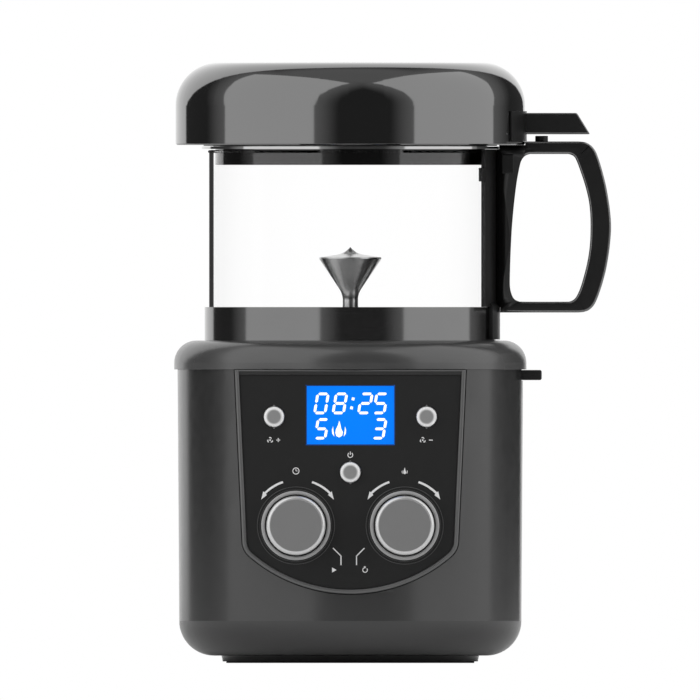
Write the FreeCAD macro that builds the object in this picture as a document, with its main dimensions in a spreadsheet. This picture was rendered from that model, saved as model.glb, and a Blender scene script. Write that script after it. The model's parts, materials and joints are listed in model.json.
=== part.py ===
import FreeCAD, Part
import math
import os
import re
import Sketcher

# Home coffee bean roaster: a base with blower and heater, a lift-out glass jar, a chaff collector and a lid
# Millimetres, +Z up, origin on the roasting axis at the table, controls towards -Y, jar handle towards +X

os.makedirs("parts", exist_ok=True)
doc = FreeCAD.newDocument("coffee_roaster")
sheet = doc.addObject("Spreadsheet::Sheet", "dims")

# Driving dimensions: alias, value, meaning
DIMENSIONS = [
    ("body_taper", 1.0, "how much the shell narrows down to its floor"),
    ("body_shoulder", 14.0, "how far the base shell stands out past the jar's collar"),
    ("body_wall", 2.4, "wall of the base shell"),
    ("body_bottom", 3.8, "height of the shell's underside"),
    ("body_top", 151.2, "height of the shell's top edge"),
    ("body_corner", 18.0, "rounding of the shell's lower edge"),
    ("floor_hole", 44.0, "radius of the air hole in the shell's floor"),
    ("fit_gap", 0.3, "gap between pieces that move past each other"),
    ("snug_gap", 0.15, "gap between pieces that are fixed together"),
    ("screw_play", 0.2, "gap round a screw"),
    ("bore_play", 0.02, "gap in a hub or sleeve pressed on its shaft"),
    ("foot_lift", 0.8, "height of the bottom plate above the table"),
    ("foot_flare", 0.6, "how much the bottom plate widens upwards"),
    ("foot_inset", 22.7, "how far the bottom plate's edge lies inside the shell"),
    ("tread_inset", 2.3, "how far the rubber foot ring lies inside the bottom plate's edge"),
    ("tread_width", 7.0, "width of the rubber foot ring"),
    ("tread_height", 2.0, "height of the rubber foot ring"),
    ("grille_count", 24.0, "outer intake slots in the bottom plate"),
    ("grille_slot", 3.0, "width of an intake slot"),
    ("grille_middle", 12.0, "radius where the inner intake slots begin"),
    ("grille_ring", 28.0, "radius where the outer intake slots begin"),
    ("grille_rib", 4.0, "width of the rib between inner and outer slots"),
    ("post_circle", 50.0, "radius of the circle of the four posts"),
    ("post_radius", 4.0, "radius of a post"),
    ("screw_radius", 1.5, "radius of a case screw's shank"),
    ("screw_head", 3.2, "radius of a case screw's head"),
    ("head_height", 1.4, "height of a case screw's head"),
    ("screw_length", 12.0, "length of a case screw's shank"),
    ("louvre_half", 16.0, "half width of a louvre in the back"),
    ("louvre_low", 60.0, "height of the lowest louvre"),
    ("louvre_gap", 2.4, "height of a louvre"),
    ("louvre_count", 6.0, "number of louvres"),
    ("louvre_span", 30.0, "from the lowest louvre to the highest"),
    ("cap_overhang", 1.7, "how far the top cap stands out past the shell"),
    ("cap_height", 14.9, "height of the top cap"),
    ("cap_rounding", 11.5, "rounding of the top cap's shoulder"),
    ("cap_wall", 2.5, "wall of the top cap"),
    ("cap_edge", 0.8, "bevel of the cap's inner edge"),
    ("lip_depth", 4.0, "depth of the cap's lip inside the shell"),
    ("lip_wall", 2.0, "wall of that lip"),
    ("throat_gap", 0.5, "gap round the jar's collar in the cap"),
    ("throat_depth", 20.1, "depth of the cap's throat"),
    ("collar_rise", 17.2, "how far the jar's metal collar stands above the cap"),
    ("collar_wall", 1.0, "sheet of the collar"),
    ("shelf_lift", 3.9, "how far the collar's inner shelf lies above the cap"),
    ("shelf_width", 15.0, "how far the shelf reaches in from the collar's outside"),
    ("shelf_thick", 1.2, "thickness of the shelf"),
    ("seat_drop", 1.7, "how far the well's seat lies below the shell's top edge"),
    ("seal_height", 1.7, "height of the silicone seal on the seat"),
    ("well_sheet", 1.2, "sheet of the well"),
    ("well_drop", 8.5, "height of the well's wall"),
    ("well_brim", 2.5, "how far the well's brim stands out past the throat"),
    ("duct_inset", 15.0, "how far the hot air duct lies inside the shelf's opening"),
    ("duct_sheet", 1.2, "sheet of the duct"),
    ("duct_bottom", 72.0, "height where the duct stands on the blower"),
    ("blower_bottom", 49.6, "height of the blower housing's floor"),
    ("blower_gap", 6.4, "gap between impeller and blower housing"),
    ("blower_wall", 1.6, "wall of the blower housing"),
    ("bracket_thick", 1.6, "thickness of the motor bracket"),
    ("bracket_lap", 4.0, "how far the motor bracket stands out past the blower"),
    ("impeller_radius", 44.0, "outside of the impeller"),
    ("impeller_height", 14.0, "height of the impeller's blades"),
    ("blade_count", 24.0, "number of blades"),
    ("motor_radius", 17.5, "outside of the motor can"),
    ("motor_height", 32.0, "height of the motor can"),
    ("spindle_radius", 2.5, "radius of the motor shaft"),
    ("heater_half", 26.0, "half width of the mica cross"),
    ("heater_gap", 3.2, "gap between heater ribbon and duct"),
    ("heater_height", 44.0, "height of the mica cross"),
    ("mica_thick", 1.0, "thickness of the mica"),
    ("ribbon_thick", 0.8, "thickness of the heater ribbon"),
    ("ribbon_width", 3.0, "width of the heater ribbon"),
    ("ribbon_pitch", 6.0, "step from one turn of ribbon to the next"),
    ("ribbon_turns", 7.0, "turns of ribbon"),
    ("power_gap", 11.1, "distance of the power board from the shell's back wall"),
    ("power_half", 32.0, "half width of the power board"),
    ("power_low", 42.0, "height of the power board's lower edge"),
    ("power_high", 112.0, "height of the power board's upper edge"),
    ("standoff_inset", 6.0, "distance of the power board's standoffs from its sides"),
    ("panel_half", 59.7, "half width of the panel at its top"),
    ("panel_proud", 0.4, "how far the panel frame stands out past the shell"),
    ("panel_draw", 4.2, "how much the panel narrows on each side down to its lower corners"),
    ("panel_slope", 40.0, "degrees that the panel's lower edge rises to its corners"),
    ("panel_low", 35.5, "height of the panel's lowest point"),
    ("panel_bow", 79.8, "radius of the panel's lower edge"),
    ("panel_rounding", 11.0, "rounding of the panel's lower corners"),
    ("panel_gap", 0.3, "gap above the panel, under the cap"),
    ("panel_rim", 2.4, "width of the panel frame's rim"),
    ("panel_step", 0.6, "depth of the overlay behind the rim"),
    ("panel_thick", 3.0, "thickness of the panel frame's front"),
    ("cheek_gap", 2.0528, "gap between the panel frame's cheeks and the lock ring"),
    ("boss_spread", 49.0, "distance of the upper board bosses from the middle"),
    ("boss_level", 134.0, "height of the upper board bosses"),
    ("boss_spread_low", 46.0, "distance of the lower board bosses from the middle"),
    ("boss_level_low", 92.0, "height of the lower board bosses"),
    ("boss_radius", 3.0, "radius of a board boss"),
    ("overlay_thick", 0.5, "thickness of the printed overlay"),
    ("screen_width", 45.8, "width of the display window"),
    ("screen_height", 30.9, "height of the display window"),
    ("screen_level", 127.7, "height of the display's centre"),
    ("board_depth", 9.9, "distance of the control board behind the panel's front"),
    ("board_half", 53.0, "half width of the control board"),
    ("board_half_low", 42.0, "half width of the control board at its lower edge"),
    ("board_high", 138.0, "height of the control board's upper edge"),
    ("board_waist", 84.0, "height where the control board starts to narrow"),
    ("board_low", 60.0, "height of the control board's lower edge"),
    ("switch_half", 3.1, "half width of a push switch"),
    ("switch_height", 3.5, "height of a push switch's case"),
    ("encoder_half", 6.5, "half width of a turn and push control"),
    ("encoder_depth", 6.0, "depth of a turn and push control's case"),
    ("board_thick", 1.6, "thickness of a circuit board"),
    ("button_radius", 5.2, "radius of a push button"),
    ("button_rise", 2.6, "how far a button stands out"),
    ("button_travel", 1.0, "how far a button goes in"),
    ("fan_spread", 39.3, "distance of the fan buttons from the middle"),
    ("fan_level", 126.8, "height of the fan buttons"),
    ("power_level", 98.2, "height of the power button"),
    ("knob_radius", 15.3, "radius of a knob"),
    ("knob_height", 13.4, "height of a knob"),
    ("knob_spread", 28.0, "distance of a knob from the middle"),
    ("knob_level", 70.8, "height of the knobs"),
    ("knob_travel", 0.8, "how far a knob goes in"),
    ("stem_radius", 3.0, "radius of a knob's shaft"),
    ("trim_gap", 0.7, "gap between a knob and its trim ring"),
    ("trim_width", 1.9, "width of a knob's trim ring"),
    ("trim_height", 1.5, "height of a knob's trim ring"),
    ("gland_level", 32.0, "height of the cord gland"),
    ("gland_radius", 5.0, "radius of the cord gland's neck"),
    ("gland_bore", 3.2, "radius of the cord gland's bore"),
    ("gland_lip", 2.5, "how far the cord gland's lips stand out"),
    ("lever_half", 8.0, "half width of the release lever"),
    ("lever_proud", 7.9, "how far the release lever stands out past the cap"),
    ("lever_side", 7.5, "degrees from the lever's middle to the side of its window"),
    ("lever_height", 5.2, "height of the release lever"),
    ("lever_swing", 18.0, "degrees that the release lever swings"),
    ("glass_radius", 72.7, "outside of the glass"),
    ("glass_wall", 2.3, "wall of the glass"),
    ("glass_height", 91.5, "height of the glass"),
    ("gasket_wall", 1.3, "thickness of the gasket's wall"),
    ("gasket_thick", 1.5, "thickness of the glass gasket's floor"),
    ("band_height", 6.6, "height of the band round the glass's mouth"),
    ("band_drop", 1.6, "distance of that band below the glass's edge"),
    ("band_sheet", 0.6, "sheet of that band"),
    ("plate_thick", 1.2, "thickness of the air plate"),
    ("plate_lap", 6.0, "how far the air plate lies on the shelf"),
    ("vane_count", 20.0, "number of swirl slots in the air plate"),
    ("vane_slot", 2.2, "width of a swirl slot"),
    ("vane_lean", 3.0, "how far a swirl slot leans over the plate's thickness"),
    ("deflector_radius", 16.0, "radius of the deflector's brim"),
    ("deflector_height", 41.8, "height of the deflector's tip above the air plate"),
    ("nut_radius", 5.4, "radius over the corners of the deflector's nut"),
    ("nut_height", 4.0, "height of the deflector's nut"),
    ("deflector_stem", 4.0, "radius of the deflector's stem"),
    ("strip_thick", 2.0, "thickness of the handle's back strip"),
    ("strip_angle", 36.0, "degrees that the back strip wraps round the glass"),
    ("strip_drop", 2.2, "how far the back strip ends below the glass's edge"),
    ("bracket_lift", 0.5, "how far the back strip starts above the cap"),
    ("ear_angle", 52.0, "degrees that the back strip's ears wrap round the glass"),
    ("ear_height", 7.0, "height of the back strip's ears"),
    ("handle_half", 11.0, "half depth of the handle"),
    ("handle_rise", 4.4, "how far the handle's top stands above the glass"),
    ("handle_lift", 14.4, "height of the handle's underside above the cap"),
    ("handle_span", 62.2, "distance of the grip from the glass"),
    ("upper_screw", 18.0, "distance of the upper handle screw below the back strip's top"),
    ("lower_screw", 21.5, "distance of the lower handle screw above the handle's underside"),
    ("cover_inset", 2.2, "distance of the switch cover from the handle's root"),
    ("cover_width", 6.0, "width of the switch cover"),
    ("cover_height", 9.8, "height of the switch cover"),
    ("cover_thick", 0.9, "thickness of the switch cover"),
    ("handle_bar", 6.2, "height of the handle's two bars"),
    ("handle_grip", 10.0, "thickness of the handle's grip"),
    ("grip_straight", 18.0, "length of the grip's straight middle"),
    ("grip_drop", 5.55, "how far that middle lies below the handle's middle"),
    ("handle_soft", 2.6, "rounding of the handle's edges"),
    ("pin_radius", 3.3, "radius of the interlock pin"),
    ("pin_reach", 8.5, "distance of the interlock pin from the lid"),
    ("pin_rise", 2.9, "how far the interlock pin stands up from the handle"),
    ("pin_travel", 1.2, "how far the interlock pin goes down"),
    ("flange_thick", 1.3, "thickness of the collector's flange"),
    ("flange_gap", 0.5, "gap between glass and flange"),
    ("flange_lap", 3.9, "how far the collector's flange stands out past the glass"),
    ("skirt_gap", 0.8, "gap between the collector's skirt and the glass"),
    ("skirt_depth", 8.2, "depth of the collector's skirt"),
    ("tray_inset", 2.4, "how far the chaff tray lies inside the skirt"),
    ("tray_sink", 3.0, "how far the chaff tray's floor lies below the flange's top"),
    ("tray_height", 26.0, "height of the chaff tray's wall"),
    ("chimney_radius", 24.0, "outside of the tray's chimney at its foot"),
    ("chimney_mouth", 19.0, "outside of the tray's chimney at its mouth"),
    ("chimney_height", 20.0, "height of the tray's chimney"),
    ("tray_sheet", 1.2, "sheet of the chaff tray"),
    ("mesh_count", 30.0, "slots in the chaff screen"),
    ("screen_slot", 2.2, "width of a slot in the chaff screen"),
    ("screen_rise", 5.5, "how far the chaff screen rises to its middle"),
    ("lid_crown", 0.5, "rise of the crown over the shoulder"),
    ("lid_lap", 13.4, "how far the lid stands out past the flange"),
    ("lid_lift", 0.8, "height of the lid's rim above the flange"),
    ("lid_height", 42.7, "height of the lid"),
    ("lid_rounding", 22.0, "rounding of the lid's shoulder"),
    ("lid_wall", 1.8, "wall of the lid"),
    ("lid_edge", 0.6, "bevel of the lid's rim"),
    ("vent_count", 24.0, "exhaust slots in the lid's liner"),
    ("vent_width", 4.4, "width of an exhaust slot"),
    ("tab_slant", 6.8, "how far the tab's tip slants back"),
    ("tab_lift", 5.5, "height of the lid tab's underside above the lid's rim"),
    ("tab_height", 11.5, "height of the lid tab"),
    ("tab_length", 33.6, "how far the lid tab stands out past the lid"),
    ("tab_screw_spread", 6.0, "distance of a tab screw from the middle"),
    ("tab_half", 10.0, "half width of the lid tab"),
    ("saddle_thick", 1.4, "thickness of the tab's saddle on the lid"),
    ("saddle_angle", 47.0, "degrees that the saddle wraps round the lid"),
]
ALIASES = set()
for row, (alias, value, meaning) in enumerate(DIMENSIONS, 1):
    sheet.set("A%d" % row, meaning)
    sheet.set("B%d" % row, str(value))
    sheet.setAlias("B%d" % row, alias)
    ALIASES.add(alias)
doc.recompute()

# Places that several pieces share, worked out from the driving dimensions
PLACES = {
    "collar_radius": "glass_radius + gasket_wall + collar_wall",
    "collar_inside": "collar_radius - collar_wall",
    "body_radius": "collar_radius + body_shoulder",
    "shell_inside": "body_radius - body_wall",
    "floor_top": "body_bottom + body_wall",
    "foot_radius": "body_radius - foot_inset",
    "tread_outer": "foot_radius - tread_inset",
    "tread_inner": "tread_outer - tread_width",
    "screw_floor": "foot_lift + 0.1",
    "motor_top": "blower_bottom - bracket_thick",
    "blower_radius": "impeller_radius + blower_gap + blower_wall",
    "duct_neck": "heater_half + ribbon_thick + heater_gap",
    "duct_radius": "shelf_inner - duct_inset",
    "power_back": "shell_inside - power_gap",
    "gland_seat": "shell_inside - body_taper - 0.6",
    "cap_radius": "body_radius + cap_overhang",
    "cap_top": "body_top + cap_height",
    "lip_outside": "shell_inside - snug_gap",
    "lip_inside": "lip_outside - lip_wall",
    "throat_radius": "collar_radius + throat_gap",
    "lock_outside": "lip_inside - 0.6",
    "throat_bottom": "cap_top - throat_depth",
    "seat_height": "body_top - seat_drop",
    "panel_half_low": "panel_half - panel_draw",
    "panel_top": "body_top - panel_gap",
    "panel_front": "body_radius + panel_proud",
    "panel_back": "panel_front - panel_thick",
    "panel_cheek": "sqrt(pow(lock_outside + cheek_gap; 2) - pow(panel_half - panel_rim; 2))",
    "overlay_front": "panel_front - panel_step",
    "board_front": "panel_front - board_depth",
    "board_back": "board_front - board_thick",
    "trim_inner": "knob_radius + trim_gap",
    "trim_outer": "trim_inner + trim_width",
    "lever_reach": "cap_radius + lever_proud",
    "jar_foot": "seat_height + seal_height + fit_gap",
    "shelf_height": "cap_top + shelf_lift",
    "shelf_top": "shelf_height + shelf_thick",
    "shelf_inner": "collar_radius - shelf_width",
    "collar_top": "cap_top + collar_rise",
    "plate_radius": "shelf_inner + plate_lap",
    "plate_top": "shelf_top + plate_thick",
    "deflector_top": "plate_top + deflector_height",
    "glass_bottom": "shelf_top + gasket_thick",
    "glass_inside": "glass_radius - glass_wall",
    "glass_top": "glass_bottom + glass_height",
    "band_top": "glass_top - band_drop",
    "band_bottom": "band_top - band_height",
    "strip_inside": "glass_radius + band_sheet + 2 * snug_gap",
    "strip_outside": "strip_inside + strip_thick",
    "strip_top": "glass_top - strip_drop",
    "bracket_inside": "collar_radius + snug_gap",
    "bracket_outside": "bracket_inside + strip_thick",
    "bracket_bottom": "cap_top + bracket_lift",
    "handle_root": "strip_outside + fit_gap",
    "handle_foot": "bracket_outside + fit_gap",
    "handle_top": "glass_top + handle_rise",
    "handle_bottom": "cap_top + handle_lift",
    "handle_reach": "glass_radius + handle_span",
    "grip_low": "handle_bottom / 2 + handle_top / 2 - grip_drop - grip_straight / 2",
    "grip_high": "grip_low + grip_straight",
    "head_seat": "handle_root + 3",
    "flange_bottom": "glass_top + flange_gap",
    "flange_top": "flange_bottom + flange_thick",
    "flange_radius": "glass_radius + flange_lap",
    "skirt_radius": "glass_inside - skirt_gap",
    "tray_radius": "skirt_radius - tray_inset",
    "tray_floor": "flange_top - tray_sink",
    "tray_top": "flange_top + tray_height",
    "screen_shoulder": "tray_radius - 12",
    "lid_radius": "flange_radius + lid_lap",
    "lid_inside": "lid_radius - lid_wall",
    "lid_bottom": "flange_top + lid_lift",
    "lid_top": "lid_bottom + lid_height",
    "liner_bottom": "flange_top + tray_sheet + fit_gap + 0.4",
    "saddle_inside": "lid_radius + snug_gap",
    "tab_bottom": "lid_bottom + tab_lift",
    "tab_top": "tab_bottom + tab_height",
    "tab_reach": "lid_radius + tab_length",
    "pin_place": "lid_radius + pin_reach",
    "pin_top": "handle_top + pin_rise",
}
BUTTON_PLACES = {
    "fan_plus": ("-fan_spread", "fan_level"),
    "fan_minus": ("fan_spread", "fan_level"),
    "power": ("0", "power_level"),
}
KNOB_PLACES = {"time": "-knob_spread", "heat": "knob_spread"}
BOSS_PLACES = [
    (side + spread, level)
    for spread, level in (("boss_spread", "boss_level"), ("boss_spread_low", "boss_level_low"))
    for side in ("-", "")
]


def expression(text):
    """The text with each place written out and each alias written as a reference to the sheet."""

    def written(found):
        name = found[0]
        if name in PLACES:
            return "(" + expression(PLACES[name]) + ")"
        return "dims." + name if name in ALIASES else name

    return re.sub(r"[a-z]+(_[a-z]+)+", written, str(text))


def size(text):
    """What an expression of the driving dimensions comes to now."""
    return float(sheet.evalExpression(expression(text)))


def bind(thing, **sizes):
    """Tie properties to expressions, with _ standing for a dot in Placement_Base_x and the like."""
    for name, text in sizes.items():
        thing.setExpression(name.replace("_", "."), expression(text))


def body(label):
    """A new sub-part made of sketched features."""
    made = doc.addObject("PartDesign::Body", label)
    made.Label = label
    return made


def facing_front(label, across, forward, up):
    """A sub-part whose own +Z points towards -Y, with its zero at this place."""
    made = body(label)
    made.Placement = FreeCAD.Placement(FreeCAD.Vector(), FreeCAD.Rotation(FreeCAD.Vector(1, 0, 0), 90))
    bind(made, Placement_Base_x=across, Placement_Base_y=f"-({forward})", Placement_Base_z=up)
    return made


def sketch(owner, plane, offset="0"):
    """A sketch on one of the body's own planes, moved along the plane's normal."""
    made = owner.newObject("Sketcher::SketchObject", owner.Label + "_sketch")
    base = [feature for feature in owner.Origin.OriginFeatures if feature.Role == plane][0]
    made.AttachmentSupport = [(base, "")]
    made.MapMode = "FlatFace"
    bind(made, AttachmentOffset_Base_z=offset)
    return made


def pin(made, shape, end, across, up):
    """Hold a point of the sketch at two distances from its origin."""
    for kind, text in (("DistanceX", across), ("DistanceY", up)):
        row = made.addConstraint(Sketcher.Constraint(kind, -1, 1, shape, end, size(text)))
        made.setExpression("Constraints[%d]" % row, expression(text))


def outline(made, *corners):
    """A closed outline of lines. Each corner is (across, up) or (across, up, rounding)."""
    count = len(corners)
    spots = [FreeCAD.Vector(size(c[0]), size(c[1]), 0) for c in corners]
    rounding = [c[2] if len(c) > 2 else None for c in corners]
    arrive, leave, arcs = list(spots), list(spots), {}
    for i, radius in enumerate(rounding):
        if radius is None:
            continue
        back = (spots[i - 1] - spots[i]).normalize()
        ahead = (spots[(i + 1) % count] - spots[i]).normalize()
        half = back.getAngle(ahead) / 2
        reach = size(radius) / math.tan(half)
        arrive[i] = spots[i] + back * reach
        leave[i] = spots[i] + ahead * reach
        centre = spots[i] + (back + ahead).normalize() * (size(radius) / math.sin(half))
        left_turn = ahead.cross(back).z > 0
        first, last = (arrive[i], leave[i]) if left_turn else (leave[i], arrive[i])
        start = math.atan2(first.y - centre.y, first.x - centre.x)
        sweep = (math.atan2(last.y - centre.y, last.x - centre.x) - start) % (2 * math.pi)
        circle_shape = Part.Circle(centre, FreeCAD.Vector(0, 0, 1), size(radius))
        arcs[i] = (Part.ArcOfCircle(circle_shape, start, start + sweep), left_turn)
    lines = [
        made.addGeometry(Part.LineSegment(leave[i], arrive[(i + 1) % count]), False) for i in range(count)
    ]
    for i in range(count):
        before, after = lines[i - 1], lines[i]
        if i not in arcs:
            made.addConstraint(Sketcher.Constraint("Coincident", before, 2, after, 1))
            pin(made, after, 1, corners[i][0], corners[i][1])
            continue
        shape, left_turn = arcs[i]
        arc = made.addGeometry(shape, False)
        first, last = (1, 2) if left_turn else (2, 1)
        made.addConstraint(Sketcher.Constraint("Tangent", before, 2, arc, first))
        made.addConstraint(Sketcher.Constraint("Tangent", arc, last, after, 1))
        row = made.addConstraint(Sketcher.Constraint("Radius", arc, size(rounding[i])))
        made.setExpression("Constraints[%d]" % row, expression(rounding[i]))
        point = made.addGeometry(Part.Point(spots[i]), True)
        made.addConstraint(Sketcher.Constraint("PointOnObject", point, 1, before))
        made.addConstraint(Sketcher.Constraint("PointOnObject", point, 1, after))
        pin(made, point, 1, corners[i][0], corners[i][1])
    return made


def rectangle(made, left, low, right, high):
    """A rectangle between two corners."""
    return outline(made, (left, low), (right, low), (right, high), (left, high))


def circle(made, across, up, radius):
    """A full circle."""
    place = FreeCAD.Vector(size(across), size(up), 0)
    shape = made.addGeometry(Part.Circle(place, FreeCAD.Vector(0, 0, 1), size(radius)), False)
    pin(made, shape, 3, across, up)
    row = made.addConstraint(Sketcher.Constraint("Radius", shape, size(radius)))
    made.setExpression("Constraints[%d]" % row, expression(radius))
    return made


def feature(owner, kind, profile, **sizes):
    """A feature of the body made from a profile."""
    made = owner.newObject("PartDesign::" + kind, owner.Label + "_" + kind.lower())
    made.Profile = profile
    bind(made, **sizes)
    profile.Visibility = False
    return made


def pad(owner, profile, length, both=False):
    """Extrude along the sketch's normal, or to both sides of it."""
    made = feature(owner, "Pad", profile, Length=length)
    made.SideType = "Symmetric" if both else "One side"
    doc.recompute()
    return made


def must_cut(owner, made, before):
    """A cut that leaves the volume as it was points the wrong way."""
    doc.recompute()
    if not owner.Shape.Volume < before - 0.01:
        raise RuntimeError(made.Name + " cuts nothing")
    return made


def pocket(owner, profile, depth, both=False):
    """Cut against the sketch's normal, or to both sides of it."""
    before = owner.Shape.Volume
    made = feature(owner, "Pocket", profile, Length=depth)
    made.SideType = "Symmetric" if both else "One side"
    return must_cut(owner, made, before)


def revolve(owner, profile, angle=None):
    """Turn a profile round the sketch's upright axis: all the way, or evenly to both sides."""
    made = feature(owner, "Revolution", profile)
    made.ReferenceAxis = (profile, ["V_Axis"])
    if angle:
        bind(made, Angle=angle)
        made.Midplane = True
    doc.recompute()
    return made


def around(owner, originals, count):
    """Repeat features evenly round the body's Z axis."""
    made = owner.newObject("PartDesign::PolarPattern", owner.Label + "_pattern")
    made.Originals = originals
    made.Axis = ([f for f in owner.Origin.OriginFeatures if f.Role == "Z_Axis"][0], [""])
    bind(made, Occurrences=count)
    owner.Tip = made
    doc.recompute()
    return made


def along(owner, originals, role, count, length):
    """Repeat features evenly along one of the body's axes."""
    made = owner.newObject("PartDesign::LinearPattern", owner.Label + "_pattern")
    made.Originals = originals
    made.Direction = ([f for f in owner.Origin.OriginFeatures if f.Role == role][0], [""])
    bind(made, Occurrences=count, Length=length)
    owner.Tip = made
    doc.recompute()
    return made


def soften(owner, base, radius, chosen, kind="Fillet"):
    """Round the edges of the last feature whose middles pass a test."""
    names = ["Edge%d" % n for n, edge in enumerate(base.Shape.Edges, 1) if chosen(edge.BoundBox)]
    made = owner.newObject("PartDesign::" + kind, owner.Label + "_" + kind.lower())
    made.Base = (base, names)
    bind(made, **{"Radius" if kind == "Fillet" else "Size": radius})
    doc.recompute()
    return made


def turned(label, *corners):
    """A sub-part turned round its own Z axis from one outline."""
    made = body(label)
    revolve(made, outline(sketch(made, "XZ_Plane"), *corners))
    return made


def front_turned(label, across, forward, up, *corners):
    """A sub-part turned round an axis that points towards the front."""
    made = facing_front(label, across, forward, up)
    revolve(made, outline(sketch(made, "XZ_Plane"), *corners))
    return made


# Base: shell and bottom


def panel_outline(made, inset):
    """The shield shape of the control panel, drawn in from its edge by an inset."""
    inset = f"({inset})"
    bow = f"(panel_bow - {inset})"
    half = f"(panel_half_low - {inset})"
    dip = f"(panel_low + {inset} + {bow} - {bow} / cos(panel_slope))"
    slope_corner = f"({dip} + {half} * tan(panel_slope))"
    return outline(
        made,
        (f"-(panel_half - {inset})", f"panel_top - {inset}"),
        (f"-{half}", slope_corner, f"panel_rounding - {inset}"),
        ("0", dip, bow),
        (half, slope_corner, f"panel_rounding - {inset}"),
        (f"panel_half - {inset}", f"panel_top - {inset}"),
    )


def four_posts(made, radius):
    """Circles at the four posts that carry the blower and take the case screws."""
    for x_sign in ("", "-"):
        for y_sign in ("", "-"):
            place = "post_circle / sqrt(2)"
            circle(made, x_sign + place, y_sign + place, radius)
    return made


def lever_window(made, inner, outer):
    """The wedge that the release lever sweeps between two radii. Its straight outer side clears the rim."""
    early, late = "lever_side", "(lever_side + lever_swing)"
    reach = f"({outer} / cos(lever_side / 2 + lever_swing / 2))"
    return outline(
        made,
        (f"{inner} * cos({early})", f"-({inner}) * sin({early})"),
        (f"{reach} * cos({early})", f"-{reach} * sin({early})"),
        (f"{reach} * cos({late})", f"{reach} * sin({late})"),
        (f"{inner} * cos({late})", f"{inner} * sin({late})"),
    )


shell = turned(
    "base_shell",
    ("floor_hole", "body_bottom"),
    ("body_radius - body_taper", "body_bottom", "body_corner"),
    ("body_radius", "body_top"),
    ("shell_inside", "body_top"),
    ("shell_inside - body_taper", "floor_top", "body_corner - body_wall"),
    ("floor_hole", "floor_top"),
)
pocket(shell, panel_outline(sketch(shell, "XZ_Plane", "panel_front + 5"), "-panel_gap"), "50")
posts = four_posts(sketch(shell, "XY_Plane", "floor_top - 0.4"), "post_radius")
pad(shell, posts, "motor_top - floor_top + 0.4")
post_bores = four_posts(sketch(shell, "XY_Plane", "body_bottom + screw_length"), "screw_radius")
pocket(shell, post_bores, "screw_length")
pocket(
    shell,
    lever_window(sketch(shell, "XY_Plane", "body_top + 1"), "(shell_inside - 3)", "(body_radius + 2)"),
    "1 + lever_height + 2 * fit_gap",
)
standoffs = sketch(shell, "XZ_Plane", "-(shell_inside - 3.4)")
for side in ("-", ""):
    for up in ("power_low + 8", "power_high - 8"):
        circle(standoffs, f"{side}(power_half - standoff_inset)", up, "boss_radius")
pad(shell, standoffs, "power_gap - 3.4")
gland_hole = sketch(shell, "XZ_Plane", "-(shell_inside - 27)")
circle(gland_hole, "0", "gland_level", "gland_radius + snug_gap")
pocket(shell, gland_hole, "40")
louvre = sketch(shell, "XZ_Plane", "-(shell_inside - 17)")
rectangle(louvre, "-louvre_half", "louvre_low", "louvre_half", "louvre_low + louvre_gap")
along(shell, [pocket(shell, louvre, "30")], "Z_Axis", "louvre_count", "louvre_span")

bottom = turned(
    "bottom_plate",
    ("0", "foot_lift"),
    ("tread_inner", "foot_lift"),
    ("tread_inner", "tread_height"),
    ("tread_outer", "tread_height"),
    ("tread_outer", "foot_lift"),
    ("foot_radius - foot_flare", "foot_lift"),
    ("foot_radius", "body_bottom"),
    ("0", "body_bottom"),
)
head_seats = four_posts(sketch(bottom, "XY_Plane", "foot_lift + head_height + 0.2"), "screw_head + snug_gap")
pocket(bottom, head_seats, "3")
pocket(bottom, four_posts(sketch(bottom, "XY_Plane", "body_bottom + 1"), "screw_radius + snug_gap"), "5")
for start, end, count in (
    ("grille_ring", "floor_hole - 3", "grille_count"),
    ("grille_middle", "grille_ring - grille_rib", "grille_count / 2"),
):
    slot = sketch(bottom, "XY_Plane", "body_bottom + 1")
    rectangle(slot, start, "-grille_slot / 2", end, "grille_slot / 2")
    around(bottom, [pocket(bottom, slot, "5")], count)

turned(
    "foot_ring",
    ("tread_inner + snug_gap", "0"),
    ("tread_outer - snug_gap", "0"),
    ("tread_outer - snug_gap", "tread_height"),
    ("tread_inner + snug_gap", "tread_height"),
)

screws = body("base_screws")
heads = four_posts(sketch(screws, "XY_Plane", "screw_floor"), "screw_head")
pad(screws, heads, "head_height + 0.1")
shanks = four_posts(sketch(screws, "XY_Plane", "screw_floor + head_height"), "screw_radius - 0.05")
pad(screws, shanks, "screw_length")

# Base: top cap and jar seat

cap = turned(
    "top_cap",
    ("throat_radius", "throat_bottom"),
    ("throat_radius", "cap_top - cap_edge"),
    ("throat_radius + cap_edge", "cap_top"),
    ("cap_radius", "cap_top", "cap_rounding"),
    ("cap_radius", "body_top"),
    ("lip_outside", "body_top"),
    ("lip_outside", "body_top - lip_depth"),
    ("lip_inside", "body_top - lip_depth"),
    ("lip_inside", "body_top + cap_wall"),
    ("cap_radius - cap_wall", "body_top + cap_wall"),
    ("cap_radius - cap_wall", "cap_top - cap_wall", "cap_rounding - cap_wall"),
    ("throat_radius + cap_wall", "cap_top - cap_wall"),
    ("throat_radius + cap_wall", "throat_bottom"),
)
lever_notch = lever_window(sketch(cap, "XY_Plane", "body_top"), "(lip_inside - 1)", "(body_radius + 2)")
pocket(cap, lever_notch, "lip_depth")
panel_notch = sketch(cap, "XY_Plane", "body_top")
rectangle(panel_notch, "-panel_half - 1", "-body_radius", "panel_half + 1", "-panel_cheek + 1")
pocket(cap, panel_notch, "lip_depth")

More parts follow.
